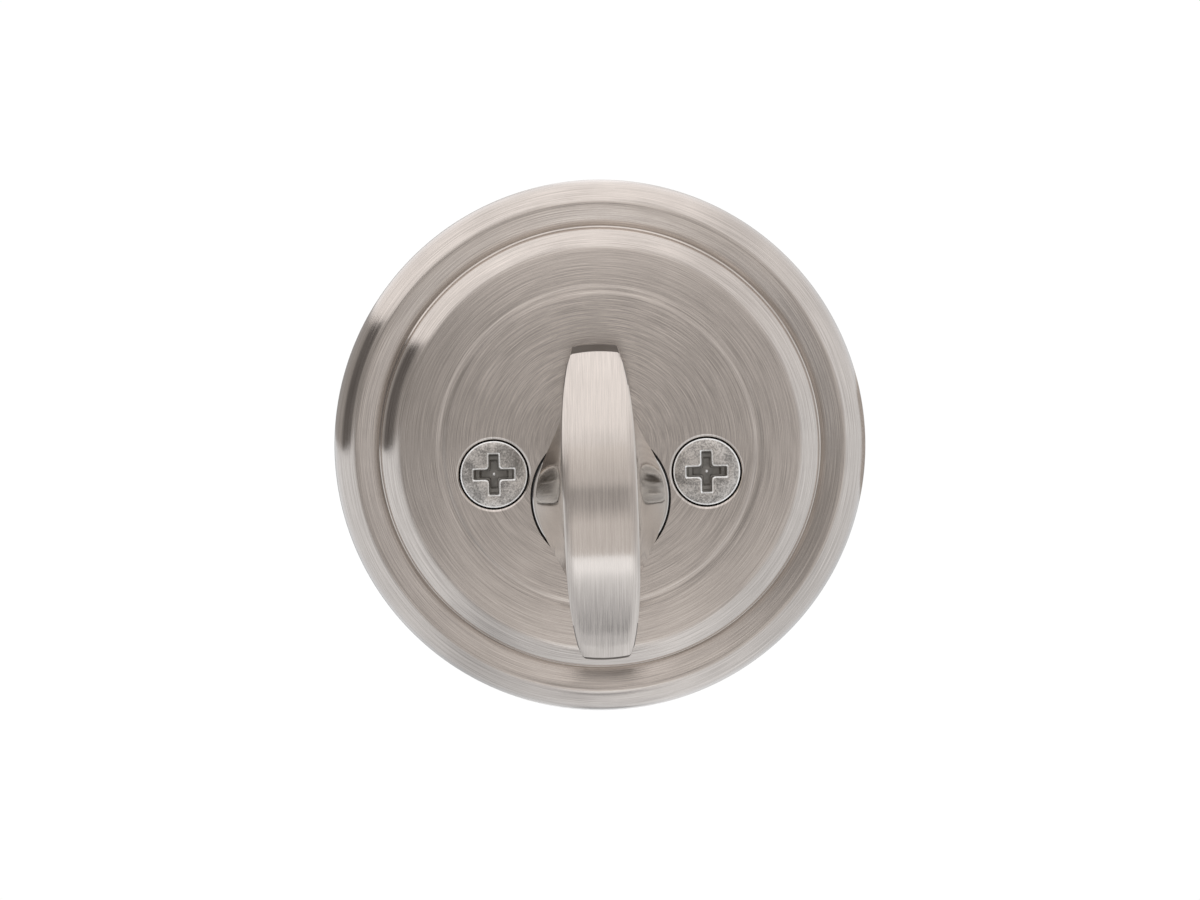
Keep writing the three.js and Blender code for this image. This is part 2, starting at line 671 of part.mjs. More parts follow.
// Cap on the plug's inner end, with the round pocket in which the tail blade has its lost motion.
function plugCap() {
  const cap = turned(
    [[0, 35.4], [7.8, 35.4], [7.8, 33], [4.3, 33], [4.3, 35.1], [0, 35.1]].reverse(),
    0,
    -TURN_DROP,
  );
  piece('plug_cap', cut(cap, roundY(0.8, 32, 36, CAP_PIN_X, -TURN_DROP, SMALL)), materials.brass);
  piece('plug_cap_pin', roundY(0.5, 33.2, PLUG_REAR + 1.5, CAP_PIN_X, -TURN_DROP, SMALL), materials.steel);
}

// ---------- assembly ----------

insideRose();
insideMountingPlate();
turnBushing();
mountingScrew('mounting_screw_left', -SCREW_X);
mountingScrew('mounting_screw_right', SCREW_X);
thumbTurn();
turnWasher();
turnRetainingRing();
tailBlade();
casePlate('case_plate_inside', -1);
casePlate('case_plate_outside', 1);
SPACERS.forEach((place, i) => caseSpacer(`case_spacer_${i + 1}`, place));
boltTube();
edgePlates();
faceplateScrew('faceplate_screw_top', FACEPLATE.screw);
faceplateScrew('faceplate_screw_bottom', -FACEPLATE.screw);
crank();
bolt();
boltCore();
drawBar();
RIVETS.forEach((x, i) => drawBarRivet(`draw_bar_rivet_${i + 1}`, x));
outsideRose();
outsideSupportPlate();
cylinderHousing();
chamberCover();
plug();
plugCap();
pinPlaces.forEach((y, i) => {
  driverPin(i + 1, y);
  pinSpring(i + 1, y);
  keyPin(i + 1, y);
});

export default lock;
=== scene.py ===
"""Looks of the deadbolt door lock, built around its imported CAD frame.

Shapes are drawn in millimetres and turned into metres as each mesh is made. The room is at -Y, the street
at +Y, the door's edge at +X. Sizes come from the frame where a CAD node shows them.
"""
import math

import bmesh
import bpy
from mathutils import Matrix, Vector


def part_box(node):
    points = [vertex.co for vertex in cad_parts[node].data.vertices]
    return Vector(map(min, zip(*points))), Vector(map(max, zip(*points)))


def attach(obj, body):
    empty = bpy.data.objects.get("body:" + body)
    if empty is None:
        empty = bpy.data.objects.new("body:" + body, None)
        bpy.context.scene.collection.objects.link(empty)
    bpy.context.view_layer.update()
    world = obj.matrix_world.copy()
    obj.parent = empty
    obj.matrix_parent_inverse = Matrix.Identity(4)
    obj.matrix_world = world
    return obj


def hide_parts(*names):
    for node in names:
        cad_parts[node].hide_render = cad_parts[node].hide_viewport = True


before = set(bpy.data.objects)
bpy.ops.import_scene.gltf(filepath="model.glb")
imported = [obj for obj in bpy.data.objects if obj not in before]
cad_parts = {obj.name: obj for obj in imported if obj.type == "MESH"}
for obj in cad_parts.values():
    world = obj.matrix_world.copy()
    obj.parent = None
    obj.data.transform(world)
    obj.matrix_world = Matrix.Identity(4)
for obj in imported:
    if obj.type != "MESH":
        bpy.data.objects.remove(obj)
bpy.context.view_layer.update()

MM = 0.001
TAU = 2 * math.pi


# ---------- sizes shared by several pieces ----------

def corners(node):
    """Lowest and highest corner of a CAD node, in millimetres."""
    low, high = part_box(node)
    return low / MM, high / MM


def middle(node):
    low, high = corners(node)
    return (low + high) / 2


TURN_Z = middle("tail_blade").z
DOOR = corners("outside_rose")[0].y
CASE_Y = DOOR / 2
ROSE_RADIUS = corners("inside_rose")[1].x
INSIDE_RISE = -corners("inside_rose")[0].y
OUTSIDE_RISE = corners("outside_rose")[1].y - DOOR
SCREW_X = middle("mounting_screw_right").x
SCREW_Z = middle("mounting_screw_right").z
SCREW_HEAD = corners("mounting_screw_right")[1].x - SCREW_X
SCREW_PLACES = (-SCREW_X, SCREW_X)
HUB_RADIUS = 8.2
TURN_LEAN = math.radians(1.5)  # the stored turn piece stops this short of upright
TURN_TRAVEL = math.radians(91.5)
GAP = 0.3


# ---------- mesh helpers ----------

def mesh_object(name, points, faces):
    mesh = bpy.data.meshes.new(name)
    mesh.from_pydata([Vector(p) * MM for p in points], [], faces)
    mesh.validate()
    piece = bpy.data.objects.new(name, mesh)
    bpy.context.scene.collection.objects.link(piece)
    return piece


def outward(piece):
    """Merge doubled points and turn every face outwards."""
    work = bmesh.new()
    work.from_mesh(piece.data)
    bmesh.ops.remove_doubles(work, verts=work.verts, dist=1e-6)
    bmesh.ops.recalc_face_normals(work, faces=work.faces)
    work.to_mesh(piece.data)
    work.free()
    return piece


def revolved(name, profile, x=0.0, z=0.0, sides=160, along="Y", y=0.0):
    """Revolved [(radius, place along the axis)], closed, or from the axis to the axis."""
    def place(radius, at, angle):
        across, up = radius * math.sin(angle), radius * math.cos(angle)
        if along == "Y":
            return (x + across, at, z + up)
        if along == "X":
            return (at, y + across, z + up)
        return (x + across, y + up, at)

    closed = profile[0] == profile[-1] and profile[0][0] > 0
    rows = profile[:-1] if closed else profile
    points, index = [], []
    for radius, at in rows:
        count = sides if radius > 1e-9 else 1
        index.append([len(points) + k for k in range(count)])
        points += [place(radius, at, TAU * k / sides) for k in range(count)]
    faces = []
    pairs = list(zip(index, index[1:])) + ([(index[-1], index[0])] if closed else [])
    for low, high in pairs:
        for k in range(sides):
            ahead = k + 1
            quad = [low[k % len(low)], low[ahead % len(low)], high[ahead % len(high)], high[k % len(high)]]
            face = list(dict.fromkeys(quad))
            if len(face) > 2:
                faces.append(face)
    return outward(mesh_object(name, points, faces))


def round_profile(radius, start, end, chamfer=0.0):
    """Profile of a plain round, with both its ends chamfered if asked."""
    if not chamfer:
        return [(0, start), (radius, start), (radius, end), (0, end)]
    flat = radius - chamfer
    return [(0, start), (flat, start), (radius, start + chamfer), (radius, end - chamfer), (flat, end),
            (0, end)]


def ring_profile(inner, outer, start, end):
    return [(inner, start), (outer, start), (outer, end), (inner, end), (inner, start)]


def both_ways(half):
    """Profile along Y from its half, drawn outwards from the middle of the door."""
    return [(r, CASE_Y - y) for r, y in reversed(half)] + [(r, CASE_Y + y) for r, y in half]


def round_y(radius, x, z, start, end, sides=64):
    return revolved("round", round_profile(radius, start, end), x, z, sides)


def round_z(radius, y, start, end, sides=40):
    return revolved("round", round_profile(radius, start, end), along="Z", y=y, sides=sides)


def lofted(name, rings):
    """Skin over closed rings of equal length, with both ends capped."""
    count = len(rings[0])
    points = [point for ring in rings for point in ring]
    faces = [list(range(count)), list(range(len(points) - count, len(points)))]
    for low in range(0, len(points) - count, count):
        faces += [[low + k, low + (k + 1) % count, low + count + (k + 1) % count, low + count + k]
                  for k in range(count)]
    return outward(mesh_object(name, points, faces))


def prism(name, outline, start, end, along="Y"):
    """A flat outline given a thickness: drawn in X and Z along Y, or in Y and Z along X."""
    if along == "Y":
        return lofted(name, [[(a, t, b) for a, b in outline] for t in (start, end)])
    return lofted(name, [[(t, a, b) for a, b in outline] for t in (start, end)])


def block(x0, x1, y0, y1, z0, z1, name="block"):
    return prism(name, [(x0, z0), (x1, z0), (x1, z1), (x0, z1)], y0, y1)


def arc(cx, cy, radius, start, end, steps):
    """Points on an arc from start to end, in degrees."""
    angles = [math.radians(start + (end - start) * k / steps) for k in range(steps + 1)]
    return [(cx + radius * math.cos(a), cy + radius * math.sin(a)) for a in angles]


def apply_modifiers(piece):
    graph = bpy.context.evaluated_depsgraph_get()
    mesh = bpy.data.meshes.new_from_object(piece.evaluated_get(graph))
    piece.modifiers.clear()
    piece.data = mesh
    return piece


def boolean(piece, tools, operation):
    """Cut or join every tool in one go, and remove the tools."""
    for tool in tools:
        modifier = piece.modifiers.new("cut", "BOOLEAN")
        modifier.operation = operation
        modifier.object = tool
        modifier.solver = "EXACT"
    apply_modifiers(piece)
    for tool in tools:
        bpy.data.objects.remove(tool)
    return piece


def cut(piece, *tools):
    return boolean(piece, tools, "DIFFERENCE")


def join(piece, *tools):
    return boolean(piece, tools, "UNION")


def rounded(piece, width, segments=2, angle=35):
    """Break every edge sharper than the angle."""
    modifier = piece.modifiers.new("edges", "BEVEL")
    modifier.width = width * MM
    modifier.segments = segments
    modifier.limit_method = "ANGLE"
    modifier.angle_limit = math.radians(angle)
    return apply_modifiers(piece)


def spin(piece, angle):
    """Turn a piece about the lock's turning axis."""
    centre = Matrix.Translation((0, 0, TURN_Z * MM))
    piece.data.transform(centre @ Matrix.Rotation(angle, 4, "Y") @ centre.inverted())
    return piece


# ---------- materials ----------

class Nodes:
    """Short calls for building one node tree."""

    def __init__(self, tree):
        self.tree = tree
        self.coordinates = self.new("ShaderNodeTexCoord")
        self.place = self.coordinates.outputs["Object"]

    def new(self, kind, **values):
        node = self.tree.nodes.new(kind)
        for key, value in values.items():
            setattr(node, key, value)
        return node

    def link(self, source, target):
        self.tree.links.new(source, target)

    def feed(self, socket, value):
        if hasattr(value, "is_output"):
            self.link(value, socket)
        else:
            socket.default_value = value

    def result(self, kind, inputs, **settings):
        """First output of a new node. Its inputs are given in order, or by name."""
        node = self.new(kind, **settings)
        for key, value in inputs.items() if isinstance(inputs, dict) else enumerate(inputs):
            self.feed(node.inputs[key], value)
        return node.outputs[0]

    def math(self, operation, *values):
        return self.result("ShaderNodeMath", values, operation=operation)

    def weighted(self, a, share, b):
        """The share of a and the rest of b."""
        return self.math("MULTIPLY_ADD", a, share, self.math("MULTIPLY", b, 1 - share))

    def xyz(self, place):
        node = self.new("ShaderNodeSeparateXYZ")
        self.link(place, node.inputs[0])
        return node.outputs

    def scaled(self, scale, place=None):
        return self.result("ShaderNodeVectorMath", (place or self.place, scale), operation="MULTIPLY")

    def noise(self, place, scale=1.0, detail=2.0, roughness=0.5, distortion=0.0):
        return self.result("ShaderNodeTexNoise", {"Vector": place, "Scale": scale, "Detail": detail,
                                                  "Roughness": roughness, "Distortion": distortion})

    def range(self, value, low, high, to_low, to_high):
        return self.result("ShaderNodeMapRange", {"Value": value, "From Min": low, "From Max": high,
                                                  "To Min": to_low, "To Max": to_high})

    def bump(self, height, strength, distance):
        return self.result("ShaderNodeBump", {"Height": height, "Strength": strength,
                                              "Distance": distance * MM})

    def mix(self, factor, a, b):
        node = self.new("ShaderNodeMix", data_type="RGBA")
        for key, value in (("Factor", factor), ("A", a), ("B", b)):
            self.feed(node.inputs[key], value)
        return node.outputs["Result"]


class Surface(Nodes):
    """A new material and its shader."""

    def __init__(self, name):
        self.material = bpy.data.materials.new(name)
        self.material.use_nodes = True
        super().__init__(self.material.node_tree)
        self.shader = self.tree.nodes["Principled BSDF"]

    def set(self, socket, value):
        self.feed(self.shader.inputs[socket], value)

    def colour(self, tone, colour, dark, light):
        """Base colour, from dark to light times the colour as tone goes from 0 to 1."""
        shades = [(*(c * factor for c in colour), 1.0) for factor in (dark, light)]
        self.set("Base Color", self.mix(tone, *shades))


NICKEL = (0.59, 0.526, 0.474)


def brushed(name, lines, roughness, colour=NICKEL, anisotropy=0.0, tangent_axis=None, turn=0.0, bump=0.5,
            contrast=0.2):
    """Satin metal with fine brush lines. lines(nodes) gives the place to sample, stretched along them."""
    nodes = Surface(name)
    stretched = lines(nodes)
    fine = nodes.noise(stretched, 1.0, 4.0, 0.65)
    coarse = nodes.noise(nodes.scaled((0.3, 0.3, 0.3), stretched), 1.0, 3.0, 0.6)
    cloud = nodes.noise(nodes.scaled((160, 160, 160)), 1.0, 3.0, 0.55)
    streak = nodes.weighted(fine, 0.9, coarse)
    tone = nodes.range(nodes.weighted(streak, 0.9, cloud), 0.4, 0.6, 0, 1)
    nodes.colour(tone, colour, 1 - contrast, 1 + contrast)
    nodes.set("Roughness", nodes.range(streak, 0.35, 0.65, roughness - 0.04, roughness + 0.04))
    nodes.set("Metallic", 1.0)
    nodes.set("Normal", nodes.bump(streak, bump, 0.012))
    if anisotropy:
        nodes.set("Anisotropic", anisotropy)
        nodes.set("Anisotropic Rotation", turn)
        tangent = nodes.new("ShaderNodeTangent", direction_type="RADIAL", axis=tangent_axis)
        nodes.link(tangent.outputs[0], nodes.shader.inputs["Tangent"])
    return nodes.material


def round_lines(across, along):
    """Brush lines that run round the lock's axis."""
    def lines(nodes):
        x, y, z = nodes.xyz(nodes.place)
        squared = nodes.math("MULTIPLY_ADD", x, x, nodes.math("MULTIPLY", z, z))
        radius = nodes.math("SQRT", nodes.math("ADD", squared, 1e-9))
        # the sum of radius and depth keeps the lines fine on steep walls too
        run = nodes.math("MULTIPLY_ADD", y, 0.7, radius)
        turn_x, turn_z = (nodes.math("MULTIPLY", nodes.math("DIVIDE", a, radius), along) for a in (x, z))
        fine = nodes.math("MULTIPLY", run, across / MM)
        return nodes.result("ShaderNodeCombineXYZ", (turn_x, fine, turn_z))
    return lines


def straight_lines(scale):
    return lambda nodes: nodes.scaled(tuple(s / MM for s in scale))


def plain_metal(name, colour, roughness, cloud_scale=300, variation=0.1, bump=0.15, grain=900):
    """Metal with cloudy tone and a fine grain."""
    nodes = Surface(name)
    cloud = nodes.noise(nodes.place, cloud_scale, 5.0, 0.6, 0.4)
    fine = nodes.noise(nodes.place, grain, 3.0, 0.6)
    nodes.colour(nodes.range(cloud, 0.3, 0.7, 0, 1), colour, 1 - variation, 1 + variation)
    nodes.set("Roughness", nodes.range(cloud, 0.3, 0.7, roughness * 0.8, roughness * 1.25))
    nodes.set("Metallic", 1.0)
    nodes.set("Normal", nodes.bump(fine, bump, 0.02))
    return nodes.material


def clouded_metal(name, colour, roughness):
    """Handled plating: soft dark clouds, fine specks, and a grain that breaks up the reflection."""
    nodes = Surface(name)
    cloud = nodes.noise(nodes.place, 420, 2.0, 0.5, 0.6)
    speck = nodes.noise(nodes.place, 5200, 4.0, 0.8)
    tone = nodes.range(nodes.weighted(cloud, 0.35, speck), 0.42, 0.58, 0, 1)
    nodes.colour(tone, colour, 0.5, 1.5)
    nodes.set("Roughness", nodes.range(cloud, 0.35, 0.65, roughness + 0.08, roughness - 0.04))
    nodes.set("Metallic", 1.0)
    nodes.set("Normal", nodes.bump(speck, 0.8, 0.03))
    return nodes.material


def plastic(name, colour):
    nodes = Surface(name)
    cloud = nodes.noise(nodes.place, 400, 3.0)
    nodes.colour(cloud, colour, 0.93, 1.04)
    nodes.set("Roughness", nodes.range(cloud, 0.3, 0.7, 0.42, 0.55))
    nodes.set("Subsurface Weight", 0.08)
    nodes.set("Normal", nodes.bump(nodes.noise(nodes.place, 1800, 2.0), 0.12, 0.02))
    return nodes.material


def turned_nickel(name, lines):
    """Satin nickel brushed round the lock's axis, so its reflections spread along the radius."""
    return brushed(name, lines, 0.15, anisotropy=0.88, tangent_axis="Y", turn=0.25, bump=0.3, contrast=0.24)


def with_socket(material, socket, value):
    """The material with one number or colour set on its shader."""
    material.node_tree.nodes["Principled BSDF"].inputs[socket].default_value = value
    return material


ROSE_NICKEL = turned_nickel("satin_nickel_turned", round_lines(19.0, 3.0))
FACE_NICKEL = turned_nickel("satin_nickel_cylinder_face", round_lines(13.0, 2.2))
BLADE_NICKEL = brushed("satin_nickel_lengthwise", straight_lines((15.0, 0.3, 0.22)), 0.15,
                       (0.61, 0.545, 0.492), 0.9, tangent_axis="Z", bump=0.25, contrast=0.11)
FLANK_NICKEL = plain_metal("satin_nickel_smooth", (0.69, 0.64, 0.59), 0.12, 220, 0.04, 0.05)
# Far darker than the blade's own nickel: painted shade on the blade's end faces and swept underside.
PAINTED_SHADE_END = with_socket(plain_metal("blade_end_painted_shade", (0.21, 0.19, 0.175), 0.42, 500, 0.12, 0.2),
                         "Specular Tint", (0.4, 0.38, 0.36, 1))
# Near-black metal for bores, countersink walls and parts hidden in the hub hole: painted shade for the dark
# of these recesses.
PAINTED_SHADE_BORE = plain_metal("painted_shade_bore", (0.10, 0.095, 0.09), 0.5, 500, 0.2)
# Near-white metal for screw-head rims, recess mouths and the recess pip: worn edges, lightened into a
# painted highlight.
WORN_EDGE_AND_HIGHLIGHT = with_socket(plain_metal("worn_edge_and_painted_highlight", (0.97, 0.94, 0.90), 0.26, 1500, 0.05),
                        "Metallic", 0.35)
PLATE_NICKEL = brushed("satin_nickel_plate", straight_lines((6.0, 6.0, 0.2)), 0.3)
BOLT_NICKEL = brushed("satin_nickel_bolt", straight_lines((0.25, 6.0, 6.0)), 0.28)
PLUG_FACE = brushed("plug_face_nickel", straight_lines((0.4, 7.0, 7.0)), 0.24, (0.66, 0.61, 0.55))
SCREW_METAL = clouded_metal("clouded_nickel", (0.455, 0.42, 0.385), 0.22)
# Dark metal inside the Phillips recesses: painted shade.
PAINTED_SHADE_RECESS = with_socket(plain_metal("screw_recess_painted_shade", (0.24, 0.22, 0.195), 0.5, 900, 0.35),
                           "Metallic", 0.5)
WOOD_SCREW_NICKEL = plain_metal("satin_nickel_wood_screw", (0.57, 0.52, 0.475), 0.27, 420, 0.12, 0.12)
ZINC_PLATE = plain_metal("zinc_plate", (0.62, 0.64, 0.66), 0.28, 260, 0.1)
DARK_STEEL = plain_metal("hardened_steel", (0.27, 0.275, 0.28), 0.36, 260, 0.16)
BRASS = plain_metal("machined_brass", (0.78, 0.60, 0.30), 0.25, 240, 0.08)
CAST_ZINC = plain_metal("cast_zinc", (0.5, 0.5, 0.5), 0.48, 500, 0.12, 0.4, 1200)
SPRING_STEEL = plain_metal("spring_steel", (0.66, 0.67, 0.68), 0.22, 500, 0.06)
NYLON = plastic("natural_nylon", (0.82, 0.79, 0.72))


ZINC = ("zinc_plated_steel", ZINC_PLATE)
STEEL = ("hardened_steel", DARK_STEEL)
PLAIN_BRASS = ("brass", BRASS)


def dress(piece, body, slot, materials, node, angle=30):
    """Give a finished piece its materials and its body, and hide the CAD node that it stands for. slot is
    not used.
    """
    if piece.data.materials:  # clearing an empty list would lose the faces' colours
        piece.data.materials.clear()
    for material in materials if isinstance(materials, list) else [materials]:
        piece.data.materials.append(material)
    piece.data.shade_smooth()
    piece.data.set_sharp_from_angle(angle=math.radians(angle))
    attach(piece, body)
    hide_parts(node)


def colour_faces(piece, index, chosen):
    """Another material on the faces for which chosen(centre, normal) in millimetres holds."""
    for face in piece.data.polygons:
        if chosen(face.center / MM, face.normal):
            face.material_index = index


# ---------- roses ----------

HOLLOW_HEIGHT = 7.05
CREST_HEIGHT = 7.4
STEP_RADIUS = ROSE_RADIUS - 5.9
FACE_RADIUS = ROSE_RADIUS - 8.7
CREST_RADIUS = ROSE_RADIUS - 2.9
BEAD_FOOT = 3.1  # height at which the rounded outer edge ends
STEP_DROP = 2.3
GROOVE_RADIUS = 19.2
ROSE_WALL = 1.5
FACE_WALL = 2.0


def eased(start, end, steps):
    """Quarter of an ellipse from start (tangent along the radius) to end (tangent along the axis)."""
    turns = [math.pi / 2 * k / steps for k in range(steps + 1)]
    return [(start[0] + (end[0] - start[0]) * math.sin(a), end[1] + (start[1] - end[1]) * math.cos(a))
            for a in turns]


def rose_face(rise):
    """Front of a rose from the axis to the rim, as (radius, height above the door)."""
    groove_width, groove_depth, steps = 1.5, 0.055, 12
    groove = [(GROOVE_RADIUS + groove_width * (k / steps - 0.5),
               rise - groove_depth * (1 - math.cos(TAU * k / steps)) / 2) for k in range(steps + 1)]
    step_top = rise - 0.25
    valley = STEP_RADIUS + 0.25
    return [
        (0, rise), (GROOVE_RADIUS / 2, rise),
        *groove,
        (FACE_RADIUS - 0.5, step_top + 0.02),
        *eased((FACE_RADIUS, step_top), (STEP_RADIUS, step_top - STEP_DROP), 12),
        (STEP_RADIUS, HOLLOW_HEIGHT + 0.3),
        (STEP_RADIUS + 0.08, HOLLOW_HEIGHT + 0.1),
        (valley, HOLLOW_HEIGHT), (valley + 0.35, HOLLOW_HEIGHT + 0.07),
        (CREST_RADIUS - 0.6, CREST_HEIGHT - 0.06),
        (CREST_RADIUS - 0.3, CREST_HEIGHT - 0.025),
        *eased((CREST_RADIUS, CREST_HEIGHT), (ROSE_RADIUS, BEAD_FOOT), 14),
        (ROSE_RADIUS, 0.25), (ROSE_RADIUS - 0.2, 0),
    ]


def rose(name, rise, place):
    """Thin shell. place turns a height above the door into a y."""
    inner = STEP_RADIUS - ROSE_WALL
    shell = rose_face(rise) + [
        (ROSE_RADIUS - ROSE_WALL, 0),
        (ROSE_RADIUS - ROSE_WALL, HOLLOW_HEIGHT - ROSE_WALL),
        (inner, HOLLOW_HEIGHT - ROSE_WALL),
        (inner, rise - FACE_WALL - 1.5),
        (inner - 2, rise - FACE_WALL),
        (0, rise - FACE_WALL),
    ]
    return revolved(name, [(radius, place(height)) for radius, height in shell], sides=256)


def inside_rose():
    """Inside rose, with its hub hole and two countersinks with worn, rounded mouths."""
    front = -INSIDE_RISE
    shell = rose("rose_inside", INSIDE_RISE, lambda height: -height)
    for x in SCREW_PLACES:
        join(shell, round_y(5.2, x, SCREW_Z, front + 1.2, front + 3.6))
    hole, edge, pocket = HUB_RADIUS + 0.17, 0.12, 10
    opening = [(0, front - 1), (hole + 1 + edge, front - 1), (hole, front + edge), (hole, front + 1.99),
               (pocket, front + 1.99), (pocket, 1), (0, 1)]
    tools = [revolved("hub_hole", opening, 0, TURN_Z, 128)]
    rim, lip, lip_depth, shank_hole = SCREW_HEAD + 0.14, 0.36, 0.17, 2.25
    turns = [math.radians(angle) for angle in (10, 20, 32, 44, 56, 68, 80, 90)]
    mouth = [(rim + lip * (1 - math.sin(a)), front + lip_depth * (1 - math.cos(a))) for a in turns]
    sink = [(0, front - 1), (rim + lip + 0.05, front - 1), *mouth, (shank_hole, front + 2.65),
            (shank_hole, 1), (0, 1)]
    tools += [revolved("countersink", sink, x, SCREW_Z, 96) for x in SCREW_PLACES]
    cut(shell, *tools)
    below_lip = front + lip_depth + 0.005
    # The hub hole's and countersinks' walls take the near-black material: painted shade.
    colour_faces(shell, 1, lambda c, n: c.y > below_lip and math.hypot(c.x, c.z) < GROOVE_RADIUS)
    dress(shell, "lock_body", "satin_nickel", [ROSE_NICKEL, PAINTED_SHADE_BORE], "inside_rose")


def outside_rose():
    shell = rose("rose_outside", OUTSIDE_RISE, lambda height: DOOR + height)
    cut(shell, round_y(17.6, 0, 0, DOOR - 1, DOOR + OUTSIDE_RISE + 1, 160))
    dress(shell, "lock_body", "satin_nickel", ROSE_NICKEL, "outside_rose")


def support_plates():
    """Steel plates behind both roses, and the nylon bush in the inside one."""
    radius, thick, chamfer, opening = 29.8, 1.5, 0.2, 17.6
    disc = [(0, -thick), (radius - chamfer, -thick), (radius, chamfer - thick), (radius, 0), (0, 0)]
    plate = revolved("mounting_plate_inside", disc)
    holes = [round_y(2.4, x, SCREW_Z, -3, 1, 48) for x in SCREW_PLACES]
    cut(plate, *holes, round_y(7.5, 0, TURN_Z, -3, 1, 96))
    dress(plate, "lock_body", *ZINC, "inside_mounting_plate")
    far = DOOR + thick
    ring = [(opening, DOOR), (radius, DOOR), (radius, far - chamfer), (radius - chamfer, far),
            (opening, far), (opening, DOOR)]
    dress(revolved("support_plate_outside", ring), "lock_body", *ZINC, "outside_support_plate")
    bush = [(5.8, -3.3), (8.8, -3.3), (9, -3.1), (9, -1.8), (7.2, -1.8), (7.2, 1.3), (7, 1.5),
            (5.8, 1.5), (5.8, -3.3)]
    dress(revolved("spindle_bush", bush, 0, TURN_Z, 96), "lock_body", "nylon", NYLON, "turn_bushing")


# ---------- screws ----------

RECESS_TURN = -0.01  # how far both Phillips recesses stand turned, in radians


def cross_outline(arm, reach, fillet, corner=0.16):
    """Phillips cross with filleted inner corners, one quarter at a time."""
    quarter = [
        *arc(reach - corner, arm - corner, corner, 0, 90, 3),
        *arc(arm + fillet, arm + fillet, fillet, 270, 180, 5),
        *arc(arm - corner, reach - corner, corner, 0, 90, 3),
    ]
    points = []
    for _ in range(4):
        points += quarter
        quarter = [(-b, a) for a, b in quarter]
    return points


def phillips_cutter(arm, reach, fillet, depth, placed):
    """Tapered cross from its mouth at y = 0 to its floor at y = depth, moved by the matrix placed."""
    outline = cross_outline(arm, reach, fillet)
    mouth = 0.17  # width and depth of the worn bevel round the mouth
    wide = cross_outline(arm + mouth, reach + mouth, fillet - mouth / 2)
    rings = [[(a, y, b) for a, b in wide] for y in (-1.0, -0.01)]
    for share, size in ((0, 1.0), (0.6, 0.88), (0.64, 0.72), (1.0, 0.62)):
        y = mouth + (depth - mouth) * share
        rings.append([(a * size, y, b * size) for a, b in outline])
    cutter = lofted("recess", rings)
    cutter.data.transform(placed)
    return cutter


def mounting_screw(node, x):
    """Countersunk machine screw. Its thread is stacked ridges, and its recess ends in a pip."""
    front, end = -INSIDE_RISE, corners(node)[1].y
    radius, shank, cone, depth = SCREW_HEAD, 1.95, 2.5, 1.5
    head = [(0, front), (radius - 0.22, front), (radius - 0.08, front + 0.05), (radius, front + 0.2)]
    pitch, core, thread_length = 0.8, 1.62, 22
    start = end - thread_length
    thread = []
    for k in range(int((thread_length - 1.5) / pitch)):
        y = start + k * pitch
        thread += [(shank, y), (core, y + pitch * 0.45), (core, y + pitch * 0.55)]
    profile = head + [(shank + 0.05, front + cone - 0.05), (shank, front + cone + 0.2)] + thread
    profile += [(shank, end - 1.2), (1.2, end), (0, end)]
    screw = revolved("screw_" + node.split("_")[-1], profile, x, SCREW_Z, 64)
    placed = Matrix.Translation(Vector((x, front, SCREW_Z)) * MM) @ Matrix.Rotation(RECESS_TURN, 4, "Y")
    floor_y, pip_radius = front + depth, 0.2
    pip = [(0, floor_y - 0.2), (0.14, floor_y - 0.15), (pip_radius, floor_y), (pip_radius, floor_y + 0.2),
           (0, floor_y + 0.2)]
    cut(screw, phillips_cutter(0.62, 2.46, 0.42, depth, placed))
    join(screw, revolved("pip", pip, x, SCREW_Z, 16))

    def off_axis(centre):
        return math.hypot(centre.x - x, centre.z - SCREW_Z)

    # The recess walls and floor get the dark recess metal: painted shade.
    colour_faces(screw, 1, lambda c, n: front + 0.1 < c.y < floor_y + 0.05 and n.y < 0.5
                 and off_axis(c) < 2.8 - 0.35 * (c.y - front))
    # Head rim and recess mouth: wear, lightened as a painted highlight.
    colour_faces(screw, 2, lambda c, n: c.y < front + 0.12 and n.y > -0.99)
    # The head's underside, down in the countersink, gets the near-black material: painted shade.
    colour_faces(screw, 3, lambda c, n: off_axis(c) > shank + 0.1 and n.y > 0.2)
    # The pip in the recess floor gets the near-white edge metal: painted highlight.
    colour_faces(screw, 2, lambda c, n: off_axis(c) < pip_radius + 0.001 and c.y < floor_y - 0.01)
    dress(screw, "lock_body", "screw_zinc", [SCREW_METAL, PAINTED_SHADE_RECESS, WORN_EDGE_AND_HIGHLIGHT, PAINTED_SHADE_BORE], node)


# ---------- thumb turn ----------

BLADE_HALF = 18.73
END_DRAFT = 0.11
SWEEP_HEIGHT = 10.0
BLADE_HEIGHT = -corners("thumb_turn")[0].y - INSIDE_RISE
BLADE_BOW = 45.0
FOOT_HALF = 11.5
FOOT_GAP = 0.3


def leaf_half_width(t):
    """Half the blade's thickness, which falls off towards its ends."""
    return 4.4 - 1.42 * (abs(t) / 18) ** 3.6


def neck_flare(t, height):
    """What the blade's foot adds to that half thickness near the hub."""
    along = max(0.0, 1 - (t / 11) ** 2) ** 2
    up = max(0.0, 1 - height / 6.5) ** 1.5
    return 3.8 * along * up


